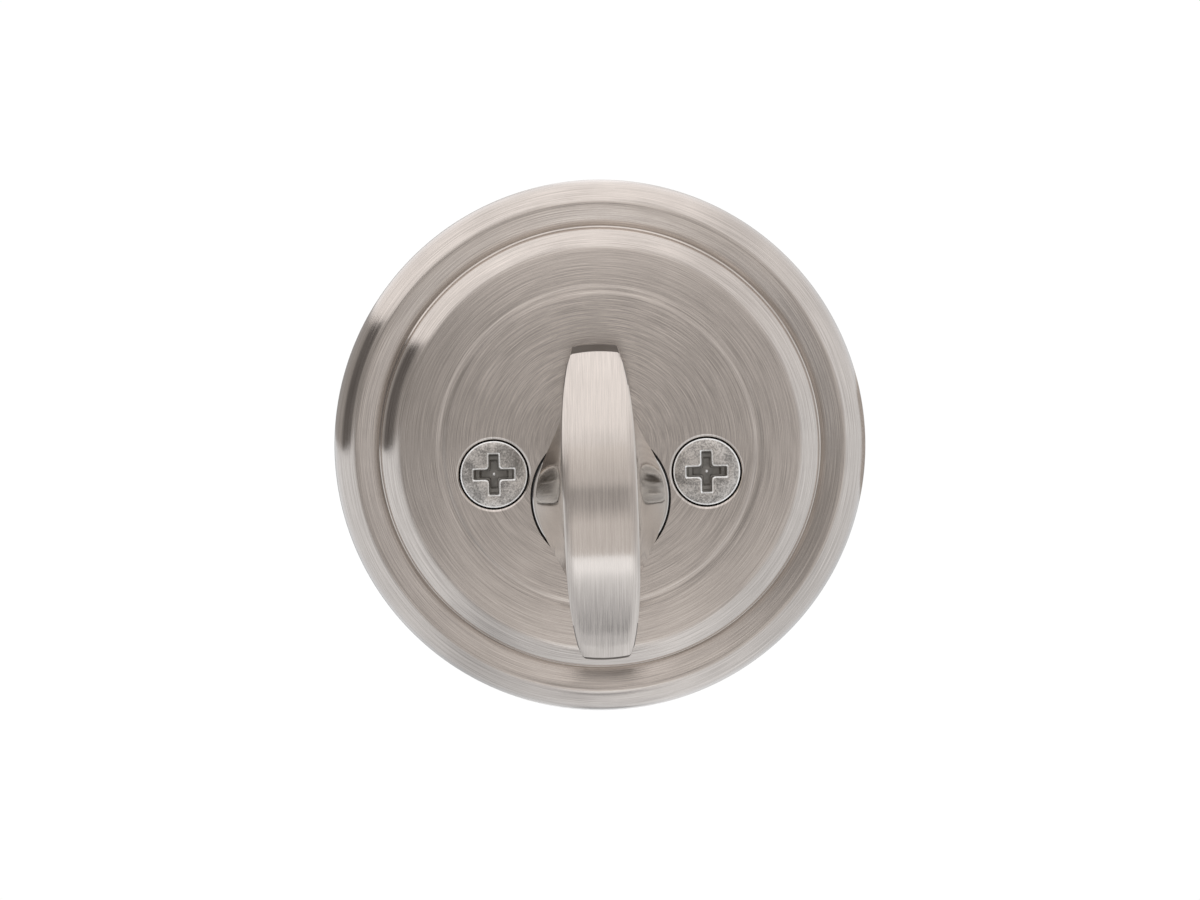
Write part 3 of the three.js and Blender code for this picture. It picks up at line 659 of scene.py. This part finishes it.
def blade_fronts():
    """The blade's front from the middle to one end, as (t, height): bow, rounded edge, end face."""
    centre = BLADE_HEIGHT - BLADE_BOW
    lean, edge = math.atan(END_DRAFT), 0.3
    height = BLADE_HEIGHT - 4
    for _ in range(6):
        t = BLADE_HALF - (edge + (height - SWEEP_HEIGHT) * math.sin(lean)) / math.cos(lean)
        height = centre + math.sqrt((BLADE_BOW - edge) ** 2 - t * t)
    first, last = math.atan2(t, height - centre), math.pi / 2 - lean
    bow_steps, edge_steps, end_steps = 48, 6, 4
    bow = [first * k / bow_steps for k in range(bow_steps + 1)]
    turns = [first + (last - first) * k / edge_steps for k in range(1, edge_steps + 1)]
    points = [(BLADE_BOW * math.sin(a), centre + BLADE_BOW * math.cos(a)) for a in bow]
    points += [(t + edge * math.sin(a), height + edge * math.cos(a)) for a in turns]
    (from_t, from_height), foot = points[-1], SWEEP_HEIGHT + 0.15
    for k in range(1, end_steps + 1):
        share = k / end_steps
        points.append((from_t + (BLADE_HALF - from_t) * share, from_height + (foot - from_height) * share))
    return points


def blade_under(t):
    """Height of the blade's swept underside above the rose."""
    over = max(0.0, abs(t) - FOOT_HALF)
    return FOOT_GAP + (SWEEP_HEIGHT - FOOT_GAP) * (over / (BLADE_HALF - FOOT_HALF)) ** (1 / 1.5)


def end_curve(t, x):
    """How far the blade's ends are drawn in at x: slightly bowed, with rounded corners."""
    share = min(1.0, max(0.0, (abs(t) - BLADE_HALF + 2.2) / 1.2))
    corner = 0.3
    beyond = min(corner, max(0.0, abs(x) - leaf_half_width(t) + corner))
    drawn_in = 0.03 * x * x + corner - math.sqrt(corner ** 2 - beyond ** 2)
    return math.copysign(share * share * (3 - 2 * share) * drawn_in, t)


def blade_section(t, high):
    """Closed outline across the blade at t, as (x, height)."""
    low = blade_under(t)
    chamfer = 0.28
    shoulder = max(low + 0.02, high - chamfer)
    side = []
    flank_steps = 14
    for k in range(flank_steps + 1):
        height = low + (shoulder - low) * (k / flank_steps) ** 1.3
        side.append((leaf_half_width(t) + neck_flare(t, height), height))
    edge = side[-1][0]
    side += [(edge - chamfer * 0.1, high - chamfer * 0.5), (edge - chamfer * 0.4, high - chamfer * 0.15),
             (edge - chamfer, high)]
    across = 8
    top = [((edge - chamfer) * (1 - 2 * k / across), high) for k in range(1, across)]
    foot = [(-side[0][0] * (1 - 2 * k / across), low) for k in range(1, across)]
    return side + top + [(-x, height) for x, height in reversed(side)] + foot


def turn_piece():
    """Blade and hub in one casting, slotted from behind for the tail blade."""
    half = blade_fronts()
    fronts = [(-t, high) for t, high in reversed(half[1:])] + half
    blade = lofted("turn_piece", [
        [(x, -INSIDE_RISE - height, t - end_curve(t, x)) for x, height in blade_section(t, high)]
        for t, high in fronts
    ])
    back = corners("thumb_turn")[1].y
    hub_front = -INSIDE_RISE - 0.45
    neck, groove_front, groove_back, step_back = 7.4, -9.2, -7.8, -6.5
    hub = [(0, hub_front), (HUB_RADIUS - 0.1, hub_front), (HUB_RADIUS, hub_front + 0.1),
           (HUB_RADIUS, groove_front), (neck, groove_front), (neck, groove_back), (HUB_RADIUS, groove_back),
           (HUB_RADIUS, step_back - 0.2), (HUB_RADIUS - 0.2, step_back), (5.5, step_back),
           (5.5, back - 0.3), (5.2, back), (0, back)]
    join(blade, revolved("hub", hub, sides=128))
    cut(blade, block(-1.3, 1.3, -5.3, back + 1, -3.8, 3.8))
    blade.data.transform(Matrix.Translation((0, 0, TURN_Z * MM)))
    spin(blade, -TURN_LEAN)
    # Faces behind the rose keep the near-black first material: painted shade in the gap round the hub.
    colour_faces(blade, 1, lambda c, n: c.y < 0.05 - INSIDE_RISE)
    # The blade's ends and swept underside take the far darker end colour: painted shade.
    colour_faces(blade, 2, lambda c, n: abs(c.z - TURN_Z) > FOOT_HALF - 1 and abs(n.x) < 0.8)
    colour_faces(blade, 3, lambda c, n: c.y < -INSIDE_RISE - SWEEP_HEIGHT and n.y < -0.62)
    dress(blade, "turn_body", "satin_nickel", [PAINTED_SHADE_BORE, FLANK_NICKEL, PAINTED_SHADE_END, BLADE_NICKEL],
          "thumb_turn", 24)


def turn_hardware():
    """Spring washer, retaining ring and the tail blade that reaches into the crank."""
    washer = revolved("washer", ring_profile(8.45, 9.6, -9.7, -9.45), 0, TURN_Z, 96)
    dress(washer, "turn_body", "spring_steel", DARK_STEEL, "turn_washer")
    ring = revolved("retaining_ring", ring_profile(7.7, 9.4, -8.9, -8.1), 0, TURN_Z, 96)
    cut(ring, block(-3, 3, -10, -7, TURN_Z - 11, TURN_Z - 5))
    dress(spin(rounded(ring, 0.08, 1), -TURN_LEAN), "turn_body", *STEEL, "turn_retaining_ring")
    half_width, rear = 3.5, corners("tail_blade")[1].y
    blade = block(-1, 1, -5, rear, TURN_Z - half_width, TURN_Z + half_width, "blade_bar")
    dress(spin(rounded(blade, 0.25), -TURN_LEAN), "turn_body", *ZINC, "tail_blade")


# ---------- bolt case ----------

CASE_INNER = middle("case_plate_outside").y - CASE_Y - 0.6
PLATE = 1.2
CASE_BACK = corners("case_plate_inside")[0].x
CASE_FRONT = 28.0
CASE_HALF_HEIGHT = corners("case_plate_inside")[1].z
SPACERS = {f"case_spacer_{k}": middle(f"case_spacer_{k}") for k in (1, 2, 3)}
BOLT_RADIUS = corners("bolt")[1].z
BOLT_HALF_WIDTH = corners("bolt")[1].y - CASE_Y
BOLT_REAR, BOLT_NOSE = corners("bolt")[0].x, corners("bolt")[1].x
RIVETS = {f"draw_bar_rivet_{k}": middle(f"draw_bar_rivet_{k}") for k in (1, 2)}
RIVET_HOLE = 1.6


def case_plates():
    low, high, front, tongue = -CASE_HALF_HEIGHT, CASE_HALF_HEIGHT, CASE_FRONT, 6.5
    bottom, nose, top = 1.5, 0.8, 4  # corner radii: bottom rear, both front ones, top rear
    outline = [
        *arc(CASE_BACK + bottom, low + bottom, bottom, 180, 270, 6),
        *arc(front - nose, low + nose, nose, 270, 360, 5),
        (front, -tongue), (front + 8, -tongue), (front + 8, tongue), (front, tongue),
        *arc(front - nose, high - nose, nose, 0, 90, 5),
        *arc(CASE_BACK + top, high - top, top, 90, 180, 10),
    ]
    for node, side in (("case_plate_inside", -1), ("case_plate_outside", 1)):
        near, far = sorted((CASE_Y + side * CASE_INNER, CASE_Y + side * (CASE_INNER + PLATE)))
        plate = prism(node.replace("case_plate", "case_side"), outline, near, far)
        tools = [round_y(5.2, 0, TURN_Z, near - 1, far + 1, 96)]
        tools += [round_y(3, x, SCREW_Z, near - 1, far + 1) for x in SCREW_PLACES]
        tools += [round_y(RIVET_HOLE, at.x, at.z, near - 1, far + 1, 40) for at in SPACERS.values()]
        cut(plate, *tools)
        dress(rounded(plate, 0.15, 2), "lock_body", *ZINC, node)


def case_spacers():
    """Shouldered posts between the case plates, riveted over outside them."""
    inner, outer = CASE_INNER - GAP, CASE_INNER + PLATE + GAP
    half = [(2, inner - 0.15), (1.85, inner), (1.3, inner), (1.3, outer), (2.1, outer),
            (2.3, outer + 0.2), (1.9, outer + 0.6), (1.2, outer + 0.8), (0, outer + 0.8)]
    for node, at in SPACERS.items():
        name = node.replace("case_spacer", "case_rivet")
        dress(revolved(name, both_ways(half), at.x, at.z, 48), "lock_body", *ZINC, node)


def hide_from_mirrors(piece):
    """The door stands between this piece and the roses, so it leaves no reflection in them."""
    piece.visible_glossy = False


def bolt_tube():
    """Rolled tube round the bolt, with its seam below."""
    low, high = corners("bolt_tube")
    radius, inner, seam_half = high.z, high.z - 1.1, 0.25
    wall = [(inner, low.x), (radius - 0.2, low.x), (radius, low.x + 0.2), (radius, high.x - 0.2),
            (radius - 0.2, high.x), (inner, high.x), (inner, low.x)]
    tube = revolved("tube", wall, along="X", y=CASE_Y, sides=160)
    cut(tube, block(low.x - 1, high.x + 1, CASE_Y - seam_half, CASE_Y + seam_half, -radius - 1, -inner + 1))
    dress(tube, "lock_body", *ZINC, "bolt_tube")
    hide_from_mirrors(tube)


def bolt_outline(radius, half_width):
    """Round bar with its two sides cut flat."""
    flat, steps = math.degrees(math.acos(half_width / radius)), 24
    return [*arc(CASE_Y, 0, radius, flat, 180 - flat, steps),
            *arc(CASE_Y, 0, radius, 180 + flat, 360 - flat, steps)]


def plate_outline(width, height, corner):
    w, h = width / 2 - corner, height / 2 - corner
    return [
        *arc(CASE_Y + w, h, corner, 0, 90, 12), *arc(CASE_Y - w, h, corner, 90, 180, 12),
        *arc(CASE_Y - w, -h, corner, 180, 270, 12), *arc(CASE_Y + w, -h, corner, 270, 360, 12),
    ]


def edge_plates():
    """Face plate on the door's edge and the smaller plate behind it."""
    low, high = corners("faceplate")
    width, height, corner, inset = high.y - low.y, high.z - low.z, 6.3, 1.2
    before, beyond = 50, 70  # inside the door, and clear of its edge
    screws = [middle(f"faceplate_screw_{end}").z for end in ("top", "bottom")]
    mouth = bolt_outline(BOLT_RADIUS + 0.4, BOLT_HALF_WIDTH + 0.4)
    plate = prism("edge_plate", plate_outline(width, height, corner), low.x, high.x, "X")
    sink = [(0, before), (2.6, before), (2.6, low.x + 0.2), (4.2, high.x - 0.1), (5, high.x + 0.7),
            (0, high.x + 0.7)]
    sinks = [revolved("sink", sink, z=z, along="X", y=CASE_Y, sides=64) for z in screws]
    cut(plate, prism("mouth", mouth, before, beyond, "X"), *sinks)
    dress(rounded(plate, 0.2, 2), "lock_body", "satin_nickel", PLATE_NICKEL, "faceplate")
    low, high = corners("faceplate_backing")
    smaller = plate_outline(width - 2 * inset, height - 2 * inset, corner - inset)
    backing = prism("edge_plate_backing", smaller, low.x, high.x, "X")
    holes = [revolved("hole", round_profile(3.2, before, beyond), z=z, along="X", y=CASE_Y, sides=64)
             for z in screws]
    cut(backing, prism("mouth", mouth, before, beyond, "X"), *holes)
    dress(rounded(backing, 0.15, 1), "lock_body", *ZINC, "faceplate_backing")
    hide_from_mirrors(plate)
    hide_from_mirrors(backing)


def wood_screws():
    """Countersunk wood screws that taper to a point. The thread is a row of rings, not a helix."""
    shank, core, pitch, neck, depth = 1.8, 1.25, 1.1, 4, 1.7
    for end in ("top", "bottom"):
        node = f"faceplate_screw_{end}"
        low, high = corners(node)
        z, head, tip = (low.z + high.z) / 2, high.x, low.x
        radius = (high.z - low.z) / 2
        profile = [(0, head), (radius - 0.15, head), (radius, head - 0.12), (shank, head - 2.3),
                   (1.5, head - neck)]
        for k in range(int((head - neck - tip - 1.2) / pitch)):
            x = head - neck - k * pitch
            thin = min(1.0, (x - tip) / 5)
            profile += [(shank * thin, x - 0.15), (core * thin, x - 0.55), (core * thin, x - 0.85)]
        profile += [(0.25, tip + 0.3), (0, tip)]
        screw = revolved("wood_screw_" + end, profile, z=z, along="X", y=CASE_Y, sides=48)
        facing_edge = Matrix.Rotation(math.pi / 2, 4, "Z") @ Matrix.Rotation(0.4, 4, "Y")
        placed = Matrix.Translation((head * MM, CASE_Y * MM, z * MM)) @ facing_edge
        cut(screw, phillips_cutter(0.55, 2.1, 0.34, depth, placed))
        # The recess gets the dark recess metal: painted shade.
        colour_faces(screw, 1, lambda c, n: head - depth - 0.2 < c.x < head - 0.1
                     and math.hypot(c.y - CASE_Y, c.z - z) < 2.2)
        # Head rim: wear, lightened as a painted highlight.
        colour_faces(screw, 2, lambda c, n: c.x > head - 0.12 and n.x < 0.99)
        dress(screw, "lock_body", "screw_zinc", [WOOD_SCREW_NICKEL, PAINTED_SHADE_RECESS, WORN_EDGE_AND_HIGHLIGHT], node)
        hide_from_mirrors(screw)


# ---------- crank, draw bar and bolt ----------

CRANK_TILT = TURN_TRAVEL / 2
PIN_AT = middle("crank_pin")
CRANK_LENGTH = math.hypot(PIN_AT.x, PIN_AT.z - TURN_Z)


def crank():
    """Crank that the tail blade turns, and the pin that drives the bolt."""
    journal, journal_radius = CASE_INNER + PLATE + GAP, 4.8
    shoulder, shoulder_radius = 5.9, 5.2
    half = [(shoulder_radius, shoulder), (journal_radius, shoulder), (journal_radius, journal - 0.2),
            (journal_radius - 0.2, journal), (0, journal)]
    hub = revolved("crank_arm", both_ways(half), 0, TURN_Z, 96)
    outline = [(-3.6, 2), (-3, 6), *arc(0, CRANK_LENGTH, 3.4, 180, 0, 24), (3, 6), (3.6, 2)]
    arm = prism("arm", [(x, z + TURN_Z) for x, z in outline], CASE_Y - 1.5, CASE_Y + 1.5)
    join(hub, spin(arm, -CRANK_TILT))
    slot = spin(block(-1.25, 1.25, 0, DOOR + 5, TURN_Z - 3.75, TURN_Z + 3.75), -TURN_LEAN)
    cut(hub, round_y(2.3, PIN_AT.x, PIN_AT.z, 0, DOOR + 5, 48), slot)
    dress(rounded(hub, 0.18, 2), "turn_body", *STEEL, "crank")
    pin = round_profile(2, CASE_Y - 4.4, CASE_Y + 4.4, 0.25)
    dress(revolved("crank_drive_pin", pin, PIN_AT.x, PIN_AT.z, 48), "turn_body", *STEEL, "crank_pin")


def rivet_holes():
    return [round_y(RIVET_HOLE, at.x, at.z, 0, DOOR + 5, 40) for at in RIVETS.values()]


def bolt():
    """Flat-sided bolt, hollow for its hardened core and let in at the top for the draw bar."""
    body = prism("bolt_bar", bolt_outline(BOLT_RADIUS, BOLT_HALF_WIDTH), BOLT_REAR, BOLT_NOSE, "X")
    rounded(body, 0.7, 4, 50)
    bore = [(0, BOLT_REAR - 1), (3.3, BOLT_REAR - 1), (3.3, BOLT_NOSE - 5), (0, BOLT_NOSE - 4)]
    core = revolved("core", bore, along="X", y=CASE_Y, sides=64)
    seat = block(BOLT_REAR - 1, 34.5, CASE_Y - 4.1, CASE_Y + 4.1, 4.2, 12)
    cut(body, core, seat, *rivet_holes())
    dress(body, "bolt_body", "bolt_metal", BOLT_NICKEL, "bolt")
    low, high = corners("bolt_hard_pin")
    pin = revolved("bolt_core", round_profile(3, low.x, high.x, 0.4), along="X", y=CASE_Y, sides=64)
    dress(pin, "bolt_body", *STEEL, "bolt_hard_pin")


def draw_bar():
    """Fork that the crank pin moves, and the two rivets that hold it in the bolt."""
    low, high = corners("draw_bar")
    rear, half = low.x, 3.8
    y0, y1 = CASE_Y - half, CASE_Y + half
    bar = block(rear, BOLT_REAR - 0.6, y0, y1, low.z, high.z, "draw_fork")
    join(bar, block(BOLT_REAR - 1.7, high.x, y0, y1, 4.5, high.z))
    fork = block(rear - 1, 22, CASE_Y - 1.8, CASE_Y + 1.8, 0, 12)
    slot_x, slot_half, above = -12.7, 2.8, 14
    floor = PIN_AT.z + slot_half - 2.5
    outline = [(slot_x + slot_half, above), (slot_x - slot_half, above),
               *arc(slot_x, floor, slot_half, 180, 360, 24)]
    cut(bar, fork, prism("slot", outline, y0 - 1, y1 + 1), *rivet_holes())
    dress(rounded(bar, 0.2, 2), "bolt_body", *ZINC, "draw_bar")
    reach = BOLT_HALF_WIDTH - 0.1
    profile = round_profile(1.3, CASE_Y - reach, CASE_Y + reach, 0.2)
    for node, at in RIVETS.items():
        dress(revolved(node.replace("draw_bar_rivet", "fork_rivet"), profile, at.x, at.z, 40), "bolt_body",
              "zinc_plated_steel", DARK_STEEL, node)


# ---------- outside half ----------

PLUG_REAR, PLUG_FRONT = (corner.y for corner in corners("plug"))
PLUG_RADIUS = 6.35
HOUSING_REAR = 36.0
FACE_Y = DOOR + OUTSIDE_RISE
PIN_YS = [middle(node).y for node in sorted(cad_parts) if node.startswith("driver_pin_")]
STACK_TOP = corners("chamber_cover")[0].z - 0.5
CHAMBER = 1.55
KEYWAY = [(-1, -4.4), (1, -4.4), (1, -1.4), (0.2, -0.8), (0.2, 0.4), (1, 1), (1, 3.6), (-1, 3.6),
          (-1, -0.2), (-1.6, -0.8), (-1.6, -2), (-1, -2.6)]


def cylinder_housing():
    """Outside face, spigot, shell round the plug, pin column and screw bosses."""
    rim, face_front, edge = corners("cylinder_housing")[1].x, FACE_Y + 2, 0.7
    face = [(0, face_front), *eased((rim - edge, face_front), (rim, face_front - edge), 5),
            (rim, FACE_Y + GAP), (0, FACE_Y + GAP)]
    housing = revolved("cylinder_body", face, sides=192)
    spigot = revolved("spigot", [(0, FACE_Y - 3), (15.6, FACE_Y - 3), (15.6, DOOR + 2), (17.2, DOOR + 2),
                                 (17.2, FACE_Y + 1), (0, FACE_Y + 1)], sides=128)
    # each ends at its own depth inside the spigot's floor
    shell = round_y(9.4, 0, TURN_Z, HOUSING_REAR, FACE_Y - 1, 96)
    column = block(-4.4, 4.4, HOUSING_REAR + 0.02, FACE_Y - 1.2, TURN_Z, STACK_TOP + 1.2)
    web = block(-SCREW_X, SCREW_X, HOUSING_REAR + 4, FACE_Y - 1.4, SCREW_Z - 1, SCREW_Z + 1)
    bosses = [round_y(3.5, x, SCREW_Z, 31.6, FACE_Y - 1.6) for x in SCREW_PLACES]
    join(housing, spigot, shell, column, web, *bosses)
    above = STACK_TOP + 3
    counterbore = [(0, FACE_Y + 0.6), (7.7, FACE_Y + 0.6), (7.7, FACE_Y + 1.9), (8.8, FACE_Y + 3),
                   (0, FACE_Y + 3)]
    cut(
        housing,
        round_y(PLUG_RADIUS + 0.15, 0, TURN_Z, 30, FACE_Y + 3, 128),
        revolved("counterbore", counterbore, 0, TURN_Z, 128),
        block(-2.6, 2.6, PIN_YS[-1] - 2.6, PIN_YS[0] + 2.6, STACK_TOP + 0.2, above),
        *[round_y(2.25, x, SCREW_Z, 31, DOOR + 1.5, 48) for x in SCREW_PLACES],
        *[round_z(CHAMBER, y, TURN_Z, above) for y in PIN_YS],
    )
    colour_faces(housing, 1, lambda c, n: c.y <= FACE_Y + GAP / 2)
    dress(housing, "lock_body", "satin_nickel_cast", [FACE_NICKEL, CAST_ZINC], "cylinder_housing")


def plug():
    """Plug with keyway and pin chambers, and the pinned cap on its rear end."""
    flange, flange_back, edge, stud_hole = 7.4, FACE_Y + 0.9, 0.35, 0.8
    profile = [(0, PLUG_FRONT), *eased((flange - edge, PLUG_FRONT), (flange, PLUG_FRONT - edge), 5),
               (flange, flange_back), (PLUG_RADIUS, flange_back), (PLUG_RADIUS, PLUG_REAR), (0, PLUG_REAR)]
    body = revolved("plug_core", profile, 0, TURN_Z, 128)
    keyway = prism("keyway", [(x, TURN_Z + z) for x, z in KEYWAY], PLUG_REAR - 1, PLUG_FRONT + 1)
    pin_x, floor = middle("plug_cap_pin").x, TURN_Z - 1.9
    cut(body, keyway, round_y(stud_hole, pin_x, TURN_Z, PLUG_REAR - 1, PLUG_REAR + 2, 24),
        *[round_z(CHAMBER, y, floor, 2) for y in PIN_YS])
    colour_faces(body, 1, lambda c, n: c.y > FACE_Y + 1 and abs(n.y) > 0.2)
    dress(rounded(body, 0.08, 1, 60), "plug_body", "brass", [BRASS, PLUG_FACE], "plug")
    skirt, lip = 4.3, 7.8
    cap = [(0, 35.4), (lip - 0.2, 35.4), (lip, 35.2), (lip, 33.2), (lip - 0.2, 33), (skirt, 33),
           (skirt, 35.1), (0, 35.1)]
    cap_piece = revolved("plug_end_cap", cap, 0, TURN_Z, 96)
    cut(cap_piece, round_y(stud_hole, pin_x, TURN_Z, 32, 36, 24))
    dress(cap_piece, "plug_body", *PLAIN_BRASS, "plug_cap")
    low, high = corners("plug_cap_pin")
    stud = revolved("cap_stud", round_profile(0.5, low.y, high.y, 0.1), pin_x, TURN_Z, 24)
    dress(stud, "plug_body", *ZINC, "plug_cap_pin")


def coil(name, y, low, high, radius, wire, turns):
    """Coil spring standing along Z, drawn as a bent round wire."""
    steps, sides = int(turns * 24), 8
    up, rings = Vector((0, 0, 1)), []
    for k in range(steps + 1):
        angle = TAU * turns * k / steps
        out = Vector((math.cos(angle), math.sin(angle), 0))
        centre = Vector((0, y, low + wire + (high - low - 2 * wire) * k / steps)) + out * radius
        rings.append([centre + wire * (out * math.cos(around) + up * math.sin(around))
                      for around in (TAU * side / sides for side in range(sides))])
    return lofted(name, rings)


def pin_stacks():
    """Stacks of bottom pin, driver and spring, and the strip that closes them."""
    radius = 1.3
    for number, y in enumerate(PIN_YS, start=1):
        low, high = corners(f"driver_pin_{number}")
        profile = round_profile(radius, low.z, high.z, 0.2)
        driver = revolved(f"driver_{number}", profile, along="Z", y=y, sides=40)
        dress(driver, "lock_body", *PLAIN_BRASS, f"driver_pin_{number}")
        low, high = corners(f"key_pin_{number}")
        profile = [(0, low.z), (0.3, low.z + 0.05), (radius, low.z + 1), (radius, high.z - 0.2),
                   (radius - 0.2, high.z), (0, high.z)]
        bottom_pin = revolved(f"bottom_pin_{number}", profile, along="Z", y=y, sides=40)
        dress(bottom_pin, "plug_body", *PLAIN_BRASS, f"key_pin_{number}")
        low, high = corners(f"pin_spring_{number}")
        dress(coil(f"spring_{number}", y, low.z, high.z, 0.95, 0.19, 6.5), "lock_body", "spring_steel",
              SPRING_STEEL, f"pin_spring_{number}")
    low, high = corners("chamber_cover")
    cover = rounded(block(low.x, high.x, low.y, high.y, low.z, high.z, "stack_cover"), 0.15)
    dress(cover, "lock_body", *PLAIN_BRASS, "chamber_cover")


# ---------- build ----------

inside_rose()
outside_rose()
support_plates()
for screw_node, screw_x in zip(("mounting_screw_left", "mounting_screw_right"), SCREW_PLACES):
    mounting_screw(screw_node, screw_x)
turn_piece()
turn_hardware()
case_plates()
case_spacers()
bolt_tube()
edge_plates()
wood_screws()
crank()
bolt()
draw_bar()
cylinder_housing()
plug()
pin_stacks()


# ---------- floor, light and camera ----------

def floor():
    """Pale floor well below the lock, kept out of the metal's reflections."""
    z, half = -110, 3000
    square = [(-half, -half, z), (half, -half, z), (half, half, z), (-half, half, z)]
    piece = mesh_object("floor", square, [[0, 1, 2, 3]])
    nodes = Surface("pale_floor")
    nodes.colour(nodes.noise(nodes.place, 3.0, 2.0), (1, 1, 1), 0.80, 0.84)
    nodes.set("Roughness", 0.7)
    piece.data.materials.append(nodes.material)
    piece.visible_glossy = False


WARM = (1.01, 1.0, 1.0)
PLAIN = (0.99, 1.0, 1.03)
COOL = (0.95, 1.0, 1.06)
# brightness round the door's normal, by degrees from +X towards +Z:
# a large soft box above, and a dark screen to the left
AROUND = [
    (0, 0.94, COOL), (58, 0.94, PLAIN), (68, 1.2, PLAIN), (85, 1.24, PLAIN), (110, 1.22, PLAIN),
    (151.6, 1.16, PLAIN), (152.4, 0.42, WARM), (181.8, 0.42, WARM), (182.8, 1.0, COOL),
    (225, 0.92, COOL), (240, 0.7, COOL), (254, 0.85, COOL), (288, 1.05, COOL), (305, 0.92, COOL),
    (325, 0.86, COOL), (350, 0.93, COOL), (360, 0.94, COOL),
]
# the same near the normal, by degrees above the horizon
AHEAD = [
    (-49, 0.6, COOL), (-43.9, 0.6, COOL), (-43.4, 0.2, COOL), (-38, 0.49, COOL), (-33, 0.72, COOL),
    (-28, 1.0, COOL), (-25, 1.24, COOL), (-22.8, 1.6, COOL), (-18.8, 1.6, COOL), (-18.2, 0.84, WARM),
    (-8, 0.87, WARM), (-5, 0.63, WARM), (-3, 0.48, WARM), (2, 0.42, WARM), (4.5, 0.76, WARM),
    (9.4, 0.87, WARM), (14.4, 1.03, WARM), (17, 1.12, PLAIN), (22, 1.31, PLAIN), (30, 1.31, PLAIN),
    (40, 1.3, PLAIN),
]
DARK_SCREEN = (0.165, 0.16, 0.16, 1)
SIDE_LIGHT = (0.67, 0.665, 0.67, 1)
SIDE_DARK = (0.34, 0.335, 0.335, 1)
BACKDROP = (1.02, 1.02, 1.02, 1)


def ramp(nodes, value, stops, first, last):
    """Colours along a line; each stop is (place, brightness, tint)."""
    node = nodes.new("ShaderNodeValToRGB")
    nodes.link(nodes.range(value, first, last, 0, 1), node.inputs["Fac"])
    elements = node.color_ramp.elements
    elements.remove(elements[-1])
    for number, (place, level, tint) in enumerate(stops):
        element = elements[0] if number == 0 else elements.new(1)
        element.position = (place - first) / (last - first)
        element.color = (*(level * t for t in tint), 1)
    return node.outputs["Color"]


def studio():
    """Soft light from all round, brighter above, with a dark screen to the left and a white backdrop."""
    world = bpy.data.worlds.new("studio")
    bpy.context.scene.world = world
    world.use_nodes = True
    world.node_tree.nodes.clear()
    nodes = Nodes(world.node_tree)
    calc, mix = nodes.math, nodes.mix

    def between(value, low, high, soft):
        """1 between low and high, fading out over soft."""
        rise = calc("MULTIPLY_ADD", calc("SUBTRACT", value, low), 1 / soft, 0.5)
        fall = calc("MULTIPLY_ADD", calc("SUBTRACT", high, value), 1 / soft, 0.5)
        return calc("MAXIMUM", calc("MINIMUM", calc("MINIMUM", rise, fall), 1.0), 0.0)

    x, y, z = nodes.xyz(nodes.coordinates.outputs["Generated"])
    depth = calc("ABSOLUTE", y)

    # far from the normal: by the direction round it, with the screen on the room's side only
    turn = calc("WRAP", calc("DEGREES", calc("ARCTAN2", z, x)), 360.0, 0.0)
    from_room = calc("DEGREES", calc("ARCCOSINE", calc("MULTIPLY", y, -1.0)))
    screen = calc("MULTIPLY", between(turn, 152, 182.3, 1), between(from_room, 42, 102, 12))
    around = mix(screen, ramp(nodes, turn, AROUND, 0, 360), DARK_SCREEN)

    # near the normal: a tall strip of its own ahead, with plain sides
    height, aside = (calc("DEGREES", calc("ARCTAN2", a, depth)) for a in (z, x))
    in_strip = between(aside, -7, 7, 8)
    sides = mix(between(aside, -24, -8, 4), SIDE_LIGHT, SIDE_DARK)
    ahead = mix(in_strip, sides, ramp(nodes, height, AHEAD, -50, 41))

    # the near part ends 16 degrees off the normal, or 50 in the strip
    off_axis = calc("DEGREES", calc("ARCCOSINE", calc("MINIMUM", depth, 1.0)))
    edge = calc("MULTIPLY_ADD", calc("MULTIPLY", in_strip, between(height, -49, 90, 1.0)), 34.0, 16.0)
    blend = calc("DIVIDE", calc("SUBTRACT", off_axis, edge), 6.0)
    light = mix(blend, ahead, around)

    seen = mix(nodes.new("ShaderNodeLightPath").outputs["Is Camera Ray"], light, BACKDROP)
    background = nodes.new("ShaderNodeBackground")
    nodes.link(seen, background.inputs["Color"])
    nodes.link(background.outputs[0], nodes.new("ShaderNodeOutputWorld").inputs["Surface"])


def camera():
    """Ahead of the inside rose. It draws nothing beyond the door's face, since the door hides the rest."""
    distance, elevation, roll = 0.6, math.radians(2.3), math.radians(0.8)
    view_width, past_the_face = 147.7 * MM, 5 * MM
    data = bpy.data.cameras.new("camera")
    data.sensor_width = 36
    data.lens = data.sensor_width * distance / view_width
    data.clip_start = 0.05
    data.clip_end = distance + past_the_face
    eye = bpy.data.objects.new("camera", data)
    bpy.context.scene.collection.objects.link(eye)
    target = Vector((0, 0, -0.7)) * MM
    eye.location = target + distance * Vector((0, -math.cos(elevation), math.sin(elevation)))
    look = (target - eye.location).to_track_quat("-Z", "Y")
    eye.rotation_euler = (look @ Matrix.Rotation(-roll, 3, "Z").to_quaternion()).to_euler()
    bpy.context.scene.camera = eye


floor()
studio()
camera()
bpy.context.scene.view_settings.view_transform = "Standard"
